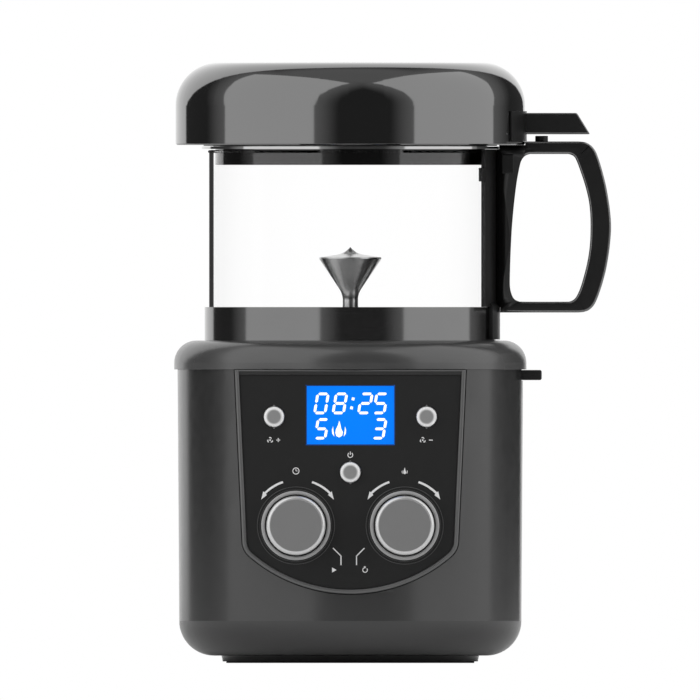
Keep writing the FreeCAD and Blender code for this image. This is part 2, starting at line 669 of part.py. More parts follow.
turned(
    "chamber_well",
    ("duct_radius - 1", "seat_height - well_sheet"),
    ("throat_radius - fit_gap - well_sheet", "seat_height - well_sheet"),
    ("throat_radius - fit_gap - well_sheet", "seat_height - well_drop"),
    ("throat_radius + well_brim", "seat_height - well_drop"),
    ("throat_radius + well_brim", "seat_height - well_drop + well_sheet"),
    ("throat_radius - fit_gap", "seat_height - well_drop + well_sheet"),
    ("throat_radius - fit_gap", "seat_height"),
    ("duct_radius - 1", "seat_height"),
)
turned(
    "seat_seal",
    ("collar_radius - 10", "seat_height"),
    ("collar_radius - 1", "seat_height"),
    ("collar_radius - 1", "seat_height + seal_height - 0.6"),
    ("collar_radius - 2", "seat_height + seal_height"),
    ("collar_radius - 10", "seat_height + seal_height"),
)
turned(
    "air_duct",
    ("duct_neck", "duct_bottom"),
    ("duct_neck + 8", "duct_bottom"),
    ("duct_neck + 8", "duct_bottom + duct_sheet"),
    ("duct_neck + duct_sheet", "duct_bottom + duct_sheet"),
    ("duct_neck + duct_sheet", "duct_bottom + 23.5"),
    ("duct_radius + duct_sheet", "duct_bottom + 55.5"),
    ("duct_radius + duct_sheet", "seat_height - well_sheet - 0.1"),
    ("duct_radius", "seat_height - well_sheet - 0.1"),
    ("duct_radius", "duct_bottom + 56"),
    ("duct_neck", "duct_bottom + 24"),
)

# Base: heater


def cross_outline(made, half):
    """Two crossed strips of mica."""
    thin = "mica_thick / 2"
    return outline(
        made,
        (f"-({half})", f"-{thin}"),
        (f"-{thin}", f"-{thin}"),
        (f"-{thin}", f"-({half})"),
        (thin, f"-({half})"),
        (thin, f"-{thin}"),
        (half, f"-{thin}"),
        (half, thin),
        (thin, thin),
        (thin, half),
        (f"-{thin}", half),
        (f"-{thin}", thin),
        (f"-({half})", thin),
    )


mica = body("heater_frame")
pad(mica, cross_outline(sketch(mica, "XY_Plane", "duct_bottom + 6"), "heater_half"), "heater_height")
pad(mica, cross_outline(sketch(mica, "XY_Plane", "duct_bottom + 4"), "duct_neck - snug_gap"), "3")

ribbon = body("heater_coil")
turn = rectangle(
    sketch(ribbon, "XZ_Plane"),
    "heater_half + snug_gap",
    "duct_bottom + 9",
    "heater_half + snug_gap + ribbon_thick",
    "duct_bottom + 9 + ribbon_width",
)
along(ribbon, [revolve(ribbon, turn)], "Z_Axis", "ribbon_turns", "(ribbon_turns - 1) * ribbon_pitch")

fuse = body("thermostat")
fuse_can = sketch(fuse, "YZ_Plane", "-(duct_neck + duct_sheet + 7)")
circle(fuse_can, "0", "duct_bottom + 12", "7")
pad(fuse, fuse_can, "6.9")
fuse_plate = sketch(fuse, "YZ_Plane", "-(duct_neck + duct_sheet + 9)")
pad(fuse, rectangle(fuse_plate, "-9", "duct_bottom + 9", "9", "duct_bottom + 15"), "2")

# Base: blower

bracket = turned(
    "motor_bracket",
    ("spindle_radius + 1", "motor_top"),
    ("blower_radius + bracket_lap", "motor_top"),
    ("blower_radius + bracket_lap", "blower_bottom"),
    ("spindle_radius + 1", "blower_bottom"),
)
inlet = outline(
    sketch(bracket, "XY_Plane", "blower_bottom + 1"),
    ("motor_radius + 3", "-6.5", "2"),
    ("impeller_radius - 6", "-12", "2"),
    ("impeller_radius - 6", "12", "2"),
    ("motor_radius + 3", "6.5", "2"),
)
around(bracket, [pocket(bracket, inlet, "4")], "6")
turned(
    "blower_housing",
    ("blower_radius - blower_wall", "blower_bottom"),
    ("blower_radius", "blower_bottom"),
    ("blower_radius", "duct_bottom - 3"),
    ("blower_radius - 2", "duct_bottom"),
    ("duct_neck", "duct_bottom"),
    ("duct_neck", "duct_bottom - blower_wall"),
    ("blower_radius - blower_wall", "duct_bottom - blower_wall"),
)
turned(
    "motor_can",
    ("spindle_radius + fit_gap", "motor_top - motor_height"),
    ("motor_radius - 1.5", "motor_top - motor_height"),
    ("motor_radius", "motor_top - motor_height + 1.5"),
    ("motor_radius", "motor_top"),
    ("spindle_radius + fit_gap", "motor_top"),
)

power = body("power_board")
power_plate = sketch(power, "XZ_Plane", "-power_back")
pad(power, rectangle(power_plate, "-power_half", "power_low", "power_half", "power_high"), "board_thick")
power_face = "-(power_back - board_thick + 0.1)"
POWER_BLOCKS = {"transformer": ("-24", "6", "-4", "22", "14"), "relay": ("6", "8", "24", "32", "11")}
for left, low, right, high, depth in POWER_BLOCKS.values():
    block = sketch(power, "XZ_Plane", power_face)
    pad(power, rectangle(block, left, f"power_low + {low}", right, f"power_low + {high}"), depth)
capacitor = circle(sketch(power, "XZ_Plane", power_face), "-12", "power_low + 48", "8")
pad(power, capacitor, "16")

gland = facing_front("cord_gland", "0", "0", "gland_level")
gland.Placement.Rotation = FreeCAD.Rotation(FreeCAD.Vector(1, 0, 0), -90)
revolve(
    gland,
    outline(
        sketch(gland, "XZ_Plane"),
        ("gland_bore", "gland_seat - 2"),
        ("gland_radius + gland_lip", "gland_seat - 2"),
        ("gland_radius + gland_lip", "gland_seat"),
        ("gland_radius", "gland_seat"),
        ("gland_radius", "gland_seat + body_wall + 0.9"),
        ("gland_radius + gland_lip", "gland_seat + body_wall + 0.9"),
        ("gland_radius + gland_lip", "gland_seat + body_wall + 2.6"),
        ("gland_radius + 0.5", "gland_seat + body_wall + 6"),
        ("gland_bore", "gland_seat + body_wall + 6"),
    ),
)

# Base: control panel

frame = body("panel_bezel")
pad(frame, panel_outline(sketch(frame, "XZ_Plane", "panel_back"), "0"), "panel_thick")
cheeks = panel_outline(sketch(frame, "XZ_Plane", "panel_cheek"), "0")
panel_outline(cheeks, "panel_rim")
pad(frame, cheeks, "panel_back - panel_cheek")
above_cheeks = rectangle(
    sketch(frame, "XZ_Plane", "panel_back"),
    "-(panel_half - panel_rim - 0.2)",
    "panel_top - panel_rim - 0.1",
    "panel_half - panel_rim - 0.2",
    "panel_top + 1",
)
pocket(frame, above_cheeks, "panel_back - panel_cheek")
overlay_seat = panel_outline(sketch(frame, "XZ_Plane", "panel_front"), "panel_rim")
pocket(frame, overlay_seat, "panel_step + overlay_thick")


def panel_openings(made, spare):
    """The display window and the holes of the buttons and knob shafts."""
    rectangle(
        made,
        "-screen_width / 2",
        "screen_level - screen_height / 2",
        "screen_width / 2",
        "screen_level + screen_height / 2",
    )
    for across, up in BUTTON_PLACES.values():
        circle(made, across, up, f"button_radius + fit_gap + {spare}")
    for across in KNOB_PLACES.values():
        circle(made, across, "knob_level", "stem_radius + 1.6")
    return made


pocket(frame, panel_openings(sketch(frame, "XZ_Plane", "panel_front"), "0.1"), "panel_thick + 1")
board_posts = sketch(frame, "XZ_Plane", "board_front")
for across, up in BOSS_PLACES:
    circle(board_posts, across, up, "boss_radius")
pad(frame, board_posts, "panel_back - board_front + 0.5")

overlay = body("panel_overlay")
overlay_shape = sketch(overlay, "XZ_Plane", "overlay_front - overlay_thick")
panel_outline(overlay_shape, "panel_rim + snug_gap")
pad(overlay, panel_openings(overlay_shape, "0"), "overlay_thick")

window = body("lcd_window")
glass_pane = rectangle(
    sketch(window, "XZ_Plane", "overlay_front - 1.4"),
    "-screen_width / 2 + 0.05",
    "screen_level - screen_height / 2 + 0.05",
    "screen_width / 2 - 0.05",
    "screen_level + screen_height / 2 - 0.05",
)
pad(window, glass_pane, "1.3")

display = body("lcd_module")
display_box = rectangle(
    sketch(display, "XZ_Plane", "board_front"),
    "-screen_width / 2 - 2",
    "screen_level - screen_height / 2 - 3",
    "screen_width / 2 + 2",
    "screen_level + screen_height / 2 + 2",
)
pad(display, display_box, "panel_back - board_front")

board = body("control_board")
board_shape = outline(
    sketch(board, "XZ_Plane", "board_back"),
    ("-board_half", "board_high"),
    ("-board_half", "board_waist"),
    ("-board_half_low", "board_low"),
    ("board_half_low", "board_low"),
    ("board_half", "board_waist"),
    ("board_half", "board_high"),
)
pad(board, board_shape, "board_thick")

board_screws = body("board_screws")
board_heads = sketch(board_screws, "XZ_Plane", "board_back - head_height")
for across, up in BOSS_PLACES:
    circle(board_heads, across, up, "boss_radius - 0.2")
pad(board_screws, board_heads, "head_height")

switches = body("tact_switches")
switch_boxes = sketch(switches, "XZ_Plane", "board_front")
switch_tops = sketch(switches, "XZ_Plane", "board_front + switch_height - 0.1")
for across, up in BUTTON_PLACES.values():
    rectangle(
        switch_boxes,
        f"{across} - switch_half",
        f"{up} - switch_half",
        f"{across} + switch_half",
        f"{up} + switch_half",
    )
    circle(switch_tops, across, up, "switch_half - 1.4")
pad(switches, switch_boxes, "switch_height")
pad(switches, switch_tops, "0.6")

encoders = body("encoder_bodies")
encoder_boxes = sketch(encoders, "XZ_Plane", "board_front")
encoder_necks = sketch(encoders, "XZ_Plane", "board_front + encoder_depth - 1")
encoder_bores = sketch(encoders, "XZ_Plane", "board_front + encoder_depth + 4")
for across in KNOB_PLACES.values():
    rectangle(
        encoder_boxes,
        f"{across} - encoder_half",
        "knob_level - encoder_half + 0.3",
        f"{across} + encoder_half",
        "knob_level + encoder_half - 0.3",
    )
    circle(encoder_necks, across, "knob_level", "stem_radius + 1.2")
    circle(encoder_bores, across, "knob_level", "stem_radius + fit_gap")
pad(encoders, encoder_boxes, "encoder_depth")
pad(encoders, encoder_necks, "overlay_front + 0.2 - board_front - encoder_depth + 1")
pocket(encoders, encoder_bores, "10")

trims = body("knob_trim_rings")
trim_rings = sketch(trims, "XZ_Plane", "overlay_front")
for across in KNOB_PLACES.values():
    circle(trim_rings, across, "knob_level", "trim_outer")
    circle(trim_rings, across, "knob_level", "trim_inner")
trim_pad = pad(trims, trim_rings, "trim_height")
trim_front = size("-(overlay_front + trim_height)")
soften(trims, trim_pad, "0.6", lambda box: abs(box.YMin - trim_front) < 0.01, "Chamfer")

# Buttons and knobs

for name, (across, up) in BUTTON_PLACES.items():
    front_turned(
        f"{name}_button",
        across,
        "overlay_front",
        up,
        ("0", "-3.9"),
        ("1.6", "-3.9"),
        ("1.6", "-3.6"),
        ("button_radius + 1.2", "-3.6"),
        ("button_radius + 1.2", "panel_back - overlay_front - fit_gap"),
        ("button_radius", "panel_back - overlay_front - fit_gap"),
        ("button_radius", "button_rise", "1.2"),
        ("0", "button_rise + 0.3"),
    )

for name, across in KNOB_PLACES.items():
    front_turned(
        f"{name}_press_rod",
        across,
        "board_front",
        "knob_level",
        ("0", "1.1"),
        ("2", "1.1"),
        ("2", "3.2"),
        ("0", "3.2"),
    )
    front_turned(
        f"{name}_shaft",
        across,
        "board_front",
        "knob_level",
        ("0", "3.5"),
        ("stem_radius", "3.5"),
        ("stem_radius", "overlay_front - board_front + knob_height - 2.5", "0.5"),
        ("0", "overlay_front - board_front + knob_height - 2.5"),
    )
    front_turned(
        f"{name}_knob",
        across,
        "overlay_front",
        "knob_level",
        ("stem_radius + bore_play", "1.4"),
        ("stem_radius + 2.2", "1.4"),
        ("stem_radius + 2.2", "knob_height - 3"),
        ("knob_radius - 2", "knob_height - 3"),
        ("knob_radius - 1.8", "knob_travel + fit_gap"),
        ("knob_radius", "knob_travel + fit_gap"),
        ("knob_radius", "knob_height", "2"),
        ("0", "knob_height"),
        ("0", "knob_height - 2.4"),
        ("stem_radius + bore_play", "knob_height - 2.4"),
    )

# Release lever

turned(
    "lock_ring",
    ("throat_radius + cap_wall + 0.8", "throat_bottom + 0.5"),
    ("lock_outside", "throat_bottom + 0.5"),
    ("lock_outside", "body_top - 0.6"),
    ("throat_radius + cap_wall + 0.8", "body_top - 0.6"),
)
lever = body("release_lever")
lever_arm = rectangle(
    sketch(lever, "XY_Plane", "body_top - fit_gap - lever_height"),
    "lip_inside - 0.5",
    "-lever_half",
    "lever_reach",
    "lever_half",
)
lever_pad = pad(lever, lever_arm, "lever_height")
lever_tip = size("lever_reach")
soften(lever, lever_pad, "1", lambda box: box.XMin > lever_tip - 0.01)

# Blower rotor

impeller = turned(
    "impeller",
    ("spindle_radius + bore_play", "blower_bottom + 2.4"),
    ("7", "blower_bottom + 2.4"),
    ("7", "blower_bottom + 2.4 + impeller_height"),
    ("impeller_radius", "blower_bottom + 2.4 + impeller_height"),
    ("impeller_radius", "blower_bottom + 3.8 + impeller_height"),
    ("spindle_radius + bore_play", "blower_bottom + 3.8 + impeller_height"),
)
blade = outline(
    sketch(impeller, "XY_Plane", "blower_bottom + 2.4"),
    ("impeller_radius - 13.5", "0"),
    ("impeller_radius - 7", "3", "14"),
    ("impeller_radius - 1.6", "9"),
    ("impeller_radius - 2.4", "10"),
    ("impeller_radius - 7.8", "4.2", "15"),
    ("impeller_radius - 13.7", "1.4"),
)
around(impeller, [pad(impeller, blade, "impeller_height + 0.2")], "blade_count")
turned(
    "motor_shaft",
    ("0", "motor_top - motor_height - 2"),
    ("spindle_radius", "motor_top - motor_height - 2"),
    ("spindle_radius", "blower_bottom + 5 + impeller_height"),
    ("0", "blower_bottom + 5 + impeller_height"),
)

# Jar

turned(
    "chamber_collar",
    ("shelf_inner + 4", "jar_foot"),
    ("collar_radius - 1.5", "jar_foot"),
    ("collar_radius", "jar_foot + 1.5"),
    ("collar_radius", "collar_top"),
    ("collar_inside", "collar_top"),
    ("collar_inside", "shelf_top"),
    ("shelf_inner", "shelf_top"),
    ("shelf_inner", "shelf_height"),
    ("collar_inside", "shelf_height"),
    ("collar_inside", "jar_foot + collar_wall"),
    ("shelf_inner + 4", "jar_foot + collar_wall"),
)
turned(
    "glass_gasket",
    ("glass_inside - 1", "shelf_top"),
    ("collar_inside - 0.05", "shelf_top"),
    ("collar_inside - 0.05", "collar_top - 1"),
    ("glass_radius + 0.05", "collar_top - 1"),
    ("glass_radius + 0.05", "glass_bottom"),
    ("glass_inside - 1", "glass_bottom"),
)
turned(
    "glass_cylinder",
    ("glass_inside", "glass_bottom"),
    ("glass_radius", "glass_bottom"),
    ("glass_radius", "glass_top - 0.7"),
    ("glass_radius - 0.7", "glass_top"),
    ("glass_inside + 0.7", "glass_top"),
    ("glass_inside", "glass_top - 0.7"),
)
turned(
    "rim_band",
    ("glass_radius + snug_gap", "band_bottom"),
    ("glass_radius + snug_gap + band_sheet", "band_bottom"),
    ("glass_radius + snug_gap + band_sheet", "band_top"),
    ("glass_radius + snug_gap", "band_top"),
)

air = turned(
    "air_plate",
    ("deflector_stem - 1", "shelf_top"),
    ("plate_radius", "shelf_top"),
    ("plate_radius", "plate_top"),
    ("deflector_stem - 1", "plate_top"),
)
swirl = outline(
    sketch(air, "YZ_Plane", "shelf_inner - 3"),
    ("-vane_lean", "shelf_top - plate_thick"),
    ("-vane_lean + vane_slot", "shelf_top - plate_thick"),
    ("vane_lean + vane_slot", "shelf_top + 2 * plate_thick"),
    ("vane_lean", "shelf_top + 2 * plate_thick"),
)
around(air, [pocket(air, swirl, "shelf_inner - 23")], "vane_count")

turned(
    "deflector",
    ("0", "shelf_top - 5.2"),
    ("deflector_stem - 1.1", "shelf_top - 5.2"),
    ("deflector_stem - 1.1", "plate_top"),
    ("deflector_stem", "plate_top"),
    ("deflector_stem", "deflector_top - 24", "10"),
    ("deflector_radius", "deflector_top - 6"),
    ("deflector_radius", "deflector_top - 5.3"),
    ("3.4", "deflector_top - 3.4", "12"),
    ("0", "deflector_top"),
)
nut = body("deflector_nut")
nut_sketch = sketch(nut, "XY_Plane", "shelf_top - nut_height")
outline(nut_sketch, *[(f"nut_radius * cos({60 * n})", f"nut_radius * sin({60 * n})") for n in range(6)])
circle(nut_sketch, "0", "0", "deflector_stem - 1.05")
pad(nut, nut_sketch, "nut_height")

# Handle

strip = body("handle_back")
strip_profile = outline(
    sketch(strip, "XZ_Plane"),
    ("bracket_inside", "bracket_bottom"),
    ("bracket_outside", "bracket_bottom"),
    ("bracket_outside", "collar_top + 0.7"),
    ("strip_outside", "collar_top + 2.3"),
    ("strip_outside", "strip_top"),
    ("strip_inside", "strip_top"),
    ("strip_inside", "collar_top + 0.7"),
    ("bracket_inside", "collar_top + 0.7"),
)
revolve(strip, strip_profile, "strip_angle")
ears = sketch(strip, "XZ_Plane")
rectangle(ears, "strip_inside", "band_bottom - ear_height - 1", "strip_outside", "band_bottom - 1")
revolve(strip, ears, "ear_angle")

handle = body("handle")
grip_profile = outline(
    sketch(handle, "XZ_Plane"),
    ("handle_foot", "handle_bottom"),
    ("handle_reach - 9.3", "handle_bottom", "9"),
    ("handle_reach", "grip_low", "30"),
    ("handle_reach", "grip_high", "40"),
    ("handle_reach - 11.3", "handle_top", "8"),
    ("lid_radius + 1.8", "handle_top"),
    ("lid_radius + 1.8", "lid_bottom - 0.5"),
    ("flange_radius + 1.4", "lid_bottom - 0.5"),
    ("flange_radius + 1.4", "flange_bottom - 0.5"),
    ("handle_root", "flange_bottom - 0.5"),
    ("handle_root", "collar_top + 4"),
    ("handle_foot", "collar_top + 2.5"),
)
outline(
    grip_profile,
    ("handle_reach - 52.9", "handle_bottom + handle_bar", "6"),
    ("handle_reach - handle_grip - 7", "handle_bottom + handle_bar", "6"),
    ("handle_reach - handle_grip", "grip_low + 1.5", "30"),
    ("handle_reach - handle_grip", "grip_high + 0.6", "30"),
    ("handle_reach - handle_grip - 9.5", "handle_top - handle_bar", "6"),
    ("handle_reach - 46.7", "handle_top - handle_bar", "5"),
)
handle_pad = pad(handle, grip_profile, "2 * handle_half", both=True)
handle_side = size("handle_half")
handle_start = size("lid_radius + 1.8")
soft_handle = soften(
    handle,
    handle_pad,
    "handle_soft",
    lambda box: box.YLength < 0.01 and abs(abs(box.YMin) - handle_side) < 0.01 and box.XMax > handle_start + 0.1,
)
pin_hole = sketch(handle, "XY_Plane", "handle_top")
circle(pin_hole, "pin_place", "0", "pin_radius + fit_gap")
pocket(handle, pin_hole, "pin_travel + 4")


def screw_circles(made, radius):
    """Circles at the two screws that hold the handle to its back strip."""
    for up in ("handle_bottom + lower_screw", "strip_top - upper_screw"):
        circle(made, "0", up, radius)
    return made


pocket(handle, screw_circles(sketch(handle, "YZ_Plane", "head_seat + 8"), "3 + screw_play"), "8")
pocket(handle, screw_circles(sketch(handle, "YZ_Plane", "head_seat"), "screw_radius + screw_play"), "8")

turned_pin = body("interlock_pin")
turned_pin.Placement = FreeCAD.Placement(FreeCAD.Vector(size("pin_place"), 0, 0), FreeCAD.Rotation())
bind(turned_pin, Placement_Base_x="pin_place")
revolve(
    turned_pin,
    outline(
        sketch(turned_pin, "XZ_Plane"),
        ("0", "handle_top - 3.7"),
        ("pin_radius", "handle_top - 3.7"),
        ("pin_radius", "pin_top", "0.4"),
        ("0", "pin_top"),
    ),
)

cover = body("switch_cover")
cover_plate = rectangle(
    sketch(cover, "XZ_Plane", "handle_half"),
    "handle_root + cover_inset",
    "strip_top - 0.1 - cover_height",
    "handle_root + cover_inset + cover_width",
    "strip_top - 0.1",
)
cover_pad = pad(cover, cover_plate, "cover_thick")
cover_front = size("-(handle_half + cover_thick)")
soften(cover, cover_pad, "0.4", lambda box: abs(box.YMin - cover_front) < 0.01 and box.YLength < 0.01)

grip_screws = body("handle_screws")
pad(grip_screws, screw_circles(sketch(grip_screws, "YZ_Plane", "head_seat"), "3"), "head_height")
grip_shanks = screw_circles(sketch(grip_screws, "YZ_Plane", "strip_outside"), "screw_radius")
pad(grip_screws, grip_shanks, "head_seat - strip_outside")

# Chaff collector

turned(
    "collector_ring",
    ("skirt_radius - tray_sheet", "flange_bottom - skirt_depth"),
    ("skirt_radius", "flange_bottom - skirt_depth"),
    ("skirt_radius", "flange_bottom"),
    ("flange_radius", "flange_bottom"),
    ("flange_radius", "flange_top"),
    ("skirt_radius - tray_sheet", "flange_top"),
)
turned(
    "chaff_tray",
    ("chimney_radius - tray_sheet", "tray_floor"),
    ("tray_radius - 2", "tray_floor"),
    ("tray_radius", "tray_floor + 2"),
    ("tray_radius", "flange_top"),
    ("flange_radius - 6", "flange_top"),
    ("flange_radius - 6", "flange_top + tray_sheet"),
    ("tray_radius", "flange_top + tray_sheet"),
    ("tray_radius", "tray_top"),
    ("tray_radius - tray_sheet", "tray_top"),
    ("tray_radius - tray_sheet", "tray_floor + 2.5"),
    ("tray_radius - 2.5", "tray_floor + tray_sheet"),
    ("chimney_radius", "tray_floor + tray_sheet"),
    ("chimney_mouth", "flange_top + chimney_height"),
    ("chimney_mouth - tray_sheet", "flange_top + chimney_height"),
)
screen = turned(
    "chaff_screen",
    ("0", "tray_top + screen_rise"),
    ("screen_shoulder", "tray_top + 0.1"),
    ("tray_radius", "tray_top + 0.1"),
    ("tray_radius", "tray_top + 0.9"),
    ("screen_shoulder", "tray_top + 0.9"),
    ("0", "tray_top + screen_rise + 0.8"),
)
mesh_slot = sketch(screen, "XY_Plane", "tray_top + 10")
rectangle(mesh_slot, "screen_shoulder - 20", "-screen_slot / 2", "screen_shoulder - 2", "screen_slot / 2")
around(screen, [pocket(screen, mesh_slot, "12")], "mesh_count")

# Lid

turned(
    "lid_dome",
    ("lid_inside", "lid_bottom"),
    ("lid_radius - lid_edge", "lid_bottom"),
    ("lid_radius", "lid_bottom + lid_edge"),
    ("lid_radius", "lid_top - lid_crown", "lid_rounding"),
    ("0", "lid_top"),
    ("0", "lid_top - lid_wall"),
    ("lid_inside", "lid_top - lid_crown - lid_wall", "lid_rounding - lid_wall"),
)
liner = turned(
    "lid_liner",
    ("tray_radius + 4", "liner_bottom"),
    ("flange_radius - 5", "liner_bottom"),
    ("flange_radius - 5", "flange_top + fit_gap"),
    ("flange_radius - 1", "flange_top + fit_gap"),
    ("flange_radius - 1", "liner_bottom"),
    ("lid_inside - snug_gap", "liner_bottom"),
    ("lid_inside - snug_gap", "liner_bottom + 1.5"),
    ("tray_radius + 4", "liner_bottom + 1.5"),
)
vent = sketch(liner, "XY_Plane", "lid_bottom + 8")
rectangle(vent, "flange_radius + 1.5", "-vent_width / 2", "lid_inside - 2.5", "vent_width / 2")
around(liner, [pocket(liner, vent, "10")], "vent_count")

tab = body("lid_tab")
saddle = sketch(tab, "XZ_Plane")
rectangle(saddle, "saddle_inside", "tab_bottom", "saddle_inside + saddle_thick", "tab_top")
revolve(tab, saddle, "saddle_angle")
tab_profile = outline(
    sketch(tab, "XZ_Plane"),
    ("saddle_inside + saddle_thick / 2", "tab_bottom"),
    ("tab_reach", "tab_bottom", "1"),
    ("tab_reach - tab_slant", "tab_top", "1.5"),
    ("saddle_inside + saddle_thick / 2", "tab_top"),
)
pad(tab, tab_profile, "2 * tab_half", both=True)

tab_screws = body("lid_tab_screws")
tab_heads = sketch(tab_screws, "YZ_Plane", "lid_inside - 1.8")
for side in ("-", ""):
    circle(tab_heads, side + "tab_screw_spread", "(tab_bottom + tab_top) / 2", "screw_head - 0.4")
pad(tab_screws, tab_heads, "1.2")

# Every sub-part must be whole before it is written

doc.recompute()
for thing in doc.Objects:
    if "Invalid" in thing.State or "Error" in thing.State:
        raise RuntimeError(thing.Label + " has failed")
nodes = [thing for thing in doc.Objects if thing.TypeId == "PartDesign::Body"]
for node in nodes:
    if node.Shape.isNull() or not node.Shape.isValid():
        raise RuntimeError(node.Label + " is not a valid shape")
for node in nodes:
    node.Shape.exportStep("parts/" + node.Label + ".step")
print(len(nodes), "sub-parts written")
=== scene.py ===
import json
import math

import bmesh
import bpy
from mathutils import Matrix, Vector, geometry


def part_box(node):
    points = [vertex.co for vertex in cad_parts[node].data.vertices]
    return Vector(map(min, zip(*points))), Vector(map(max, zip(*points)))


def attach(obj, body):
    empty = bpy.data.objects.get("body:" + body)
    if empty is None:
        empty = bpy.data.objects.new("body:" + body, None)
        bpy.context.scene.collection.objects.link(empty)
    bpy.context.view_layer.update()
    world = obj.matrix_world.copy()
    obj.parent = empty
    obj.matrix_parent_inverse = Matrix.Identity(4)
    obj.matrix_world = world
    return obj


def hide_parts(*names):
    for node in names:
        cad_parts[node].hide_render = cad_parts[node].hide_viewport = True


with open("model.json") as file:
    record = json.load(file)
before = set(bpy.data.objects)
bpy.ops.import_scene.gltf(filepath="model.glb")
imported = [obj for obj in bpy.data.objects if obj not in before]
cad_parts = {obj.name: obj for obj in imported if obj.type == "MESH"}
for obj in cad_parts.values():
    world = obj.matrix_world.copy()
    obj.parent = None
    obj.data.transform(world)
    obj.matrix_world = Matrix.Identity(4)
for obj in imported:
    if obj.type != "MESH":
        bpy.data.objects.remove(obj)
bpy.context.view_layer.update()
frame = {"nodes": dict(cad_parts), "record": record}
nodes = frame["nodes"]
MM = 0.001

# Places and sizes on the object


def middle(node):
    """The centre of a node's box at rest."""
    low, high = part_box(node)
    return (low + high) / 2


PANEL_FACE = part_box("panel_overlay")[0].y
SCREEN_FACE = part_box("lcd_window")[0].y
KNOBS = {"time": middle("time_knob"), "heat": middle("heat_knob")}
BUTTONS = ("power", "fan_plus", "fan_minus")
GLASS_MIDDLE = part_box("glass_cylinder")[1].x - 1.1 * MM
SKIRT_RADIUS = 71.5 * MM
PRINT_LIFT = 0.02 * MM
PRINT_DEPTH = 0.05 * MM

# Shader helpers


class Tree:
    """A node tree with short calls for making and joining its nodes."""

    def __init__(self, tree):
        self.tree = tree

    def node(self, kind, **settings):
        made = self.tree.nodes.new(kind)
        for name, value in settings.items():
            setattr(made, name, value)
        return made

    def link(self, source, target):
        self.tree.links.new(source, target)
        return self

    def math(self, operation, first, second):
        """Two values, or a value and a number, put through a math node."""
        made = self.node("ShaderNodeMath", operation=operation)
        for socket, value in zip(made.inputs, (first, second)):
            if isinstance(value, bpy.types.NodeSocket):
                self.link(value, socket)
            else:
                socket.default_value = value
        return made.outputs[0]

    def within(self, way, edge, soft):
        """1 for directions on the inner side of an edge, falling to 0 over a soft strip outside it."""
        normal, limit = edge
        lean = self.node("ShaderNodeVectorMath", operation="DOT_PRODUCT")
        lean.inputs[1].default_value = normal
        step = self.node("ShaderNodeMapRange", interpolation_type="SMOOTHSTEP")
        ends = {"From Min": limit, "From Max": limit + soft, "To Min": 1.0, "To Max": 0.0}
        for name, value in ends.items():
            step.inputs[name].default_value = value
        self.link(way, lean.inputs[0]).link(lean.outputs["Value"], step.inputs["Value"])
        return step.outputs["Result"]


class Shader(Tree):
    """A material's node tree with short calls for what the finishes here need."""

    def __init__(self, name):
        self.material = bpy.data.materials.new(name)
        self.material.use_nodes = True
        super().__init__(self.material.node_tree)
        self.bsdf = self.tree.nodes["Principled BSDF"]
        self.place = self.node("ShaderNodeTexCoord").outputs["Object"]

    def fixed(self, **values):
        """Constants on the shader's own sockets, with _ standing for a space."""
        for name, value in values.items():
            self.bsdf.inputs[name.replace("_", " ")].default_value = value
        return self

    def noise(self, scale, detail=4.0, stretch=(1, 1, 1)):
        """A noise in object space, with its coordinates stretched."""
        spread = self.node("ShaderNodeMapping")
        spread.inputs["Scale"].default_value = stretch
        grain = self.node("ShaderNodeTexNoise")
        grain.inputs["Scale"].default_value = scale
        grain.inputs["Detail"].default_value = detail
        self.link(self.place, spread.inputs["Vector"]).link(spread.outputs[0], grain.inputs["Vector"])
        return grain.outputs["Fac"]

    def spread(self, value, low, high):
        """A value from 0 to 1 taken to a range."""
        made = self.node("ShaderNodeMapRange")
        made.inputs["To Min"].default_value = low
        made.inputs["To Max"].default_value = high
        self.link(value, made.inputs["Value"])
        return made.outputs["Result"]

    def ramp(self, value, *stops):
        """A colour ramp through (position, grey or colour) stops."""
        made = self.node("ShaderNodeValToRGB")
        elements = made.color_ramp.elements
        while len(elements) < len(stops):
            elements.new(1.0)
        for element, (position, colour) in zip(elements, stops):
            element.position = position
            element.color = rgba(colour)
        self.link(value, made.inputs["Fac"])
        return made.outputs["Color"]

    def mix(self, factor, first, second):
        """Two colours, mixed."""
        made = self.node("ShaderNodeMix", data_type="RGBA")
        self.link(factor, made.inputs["Factor"])
        for socket, value in ((made.inputs[6], first), (made.inputs[7], second)):
            if isinstance(value, bpy.types.NodeSocket):
                self.link(value, socket)
            else:
                socket.default_value = rgba(value)
        return made.outputs[2]

    def bump(self, value, height, edge=0.0):
        """Raise the surface by a height map, over edges rounded by a bevel."""
        made = self.node("ShaderNodeBump")
        made.inputs["Distance"].default_value = height
        self.link(value, made.inputs["Height"])
        if edge:
            bevel = self.node("ShaderNodeBevel", samples=4)
            bevel.inputs["Radius"].default_value = edge
            self.link(bevel.outputs[0], made.inputs["Normal"])
        return self.link(made.outputs[0], self.bsdf.inputs["Normal"])

    def distance_from(self, centre, squash=(1, 1, 1)):
        """Distance from a point, with some axes left out."""
        offset = self.node("ShaderNodeVectorMath", operation="SUBTRACT")
        offset.inputs[1].default_value = centre
        self.link(self.place, offset.inputs[0])
        flat = self.node("ShaderNodeVectorMath", operation="MULTIPLY")
        flat.inputs[1].default_value = squash
        self.link(offset.outputs[0], flat.inputs[0])
        length = self.node("ShaderNodeVectorMath", operation="LENGTH")
        self.link(flat.outputs[0], length.inputs[0])
        return length.outputs["Value"]


def rgba(colour):
    """A grey, or a colour, with full alpha."""
    return (colour, colour, colour, 1) if isinstance(colour, (int, float)) else (*colour[:3], 1)


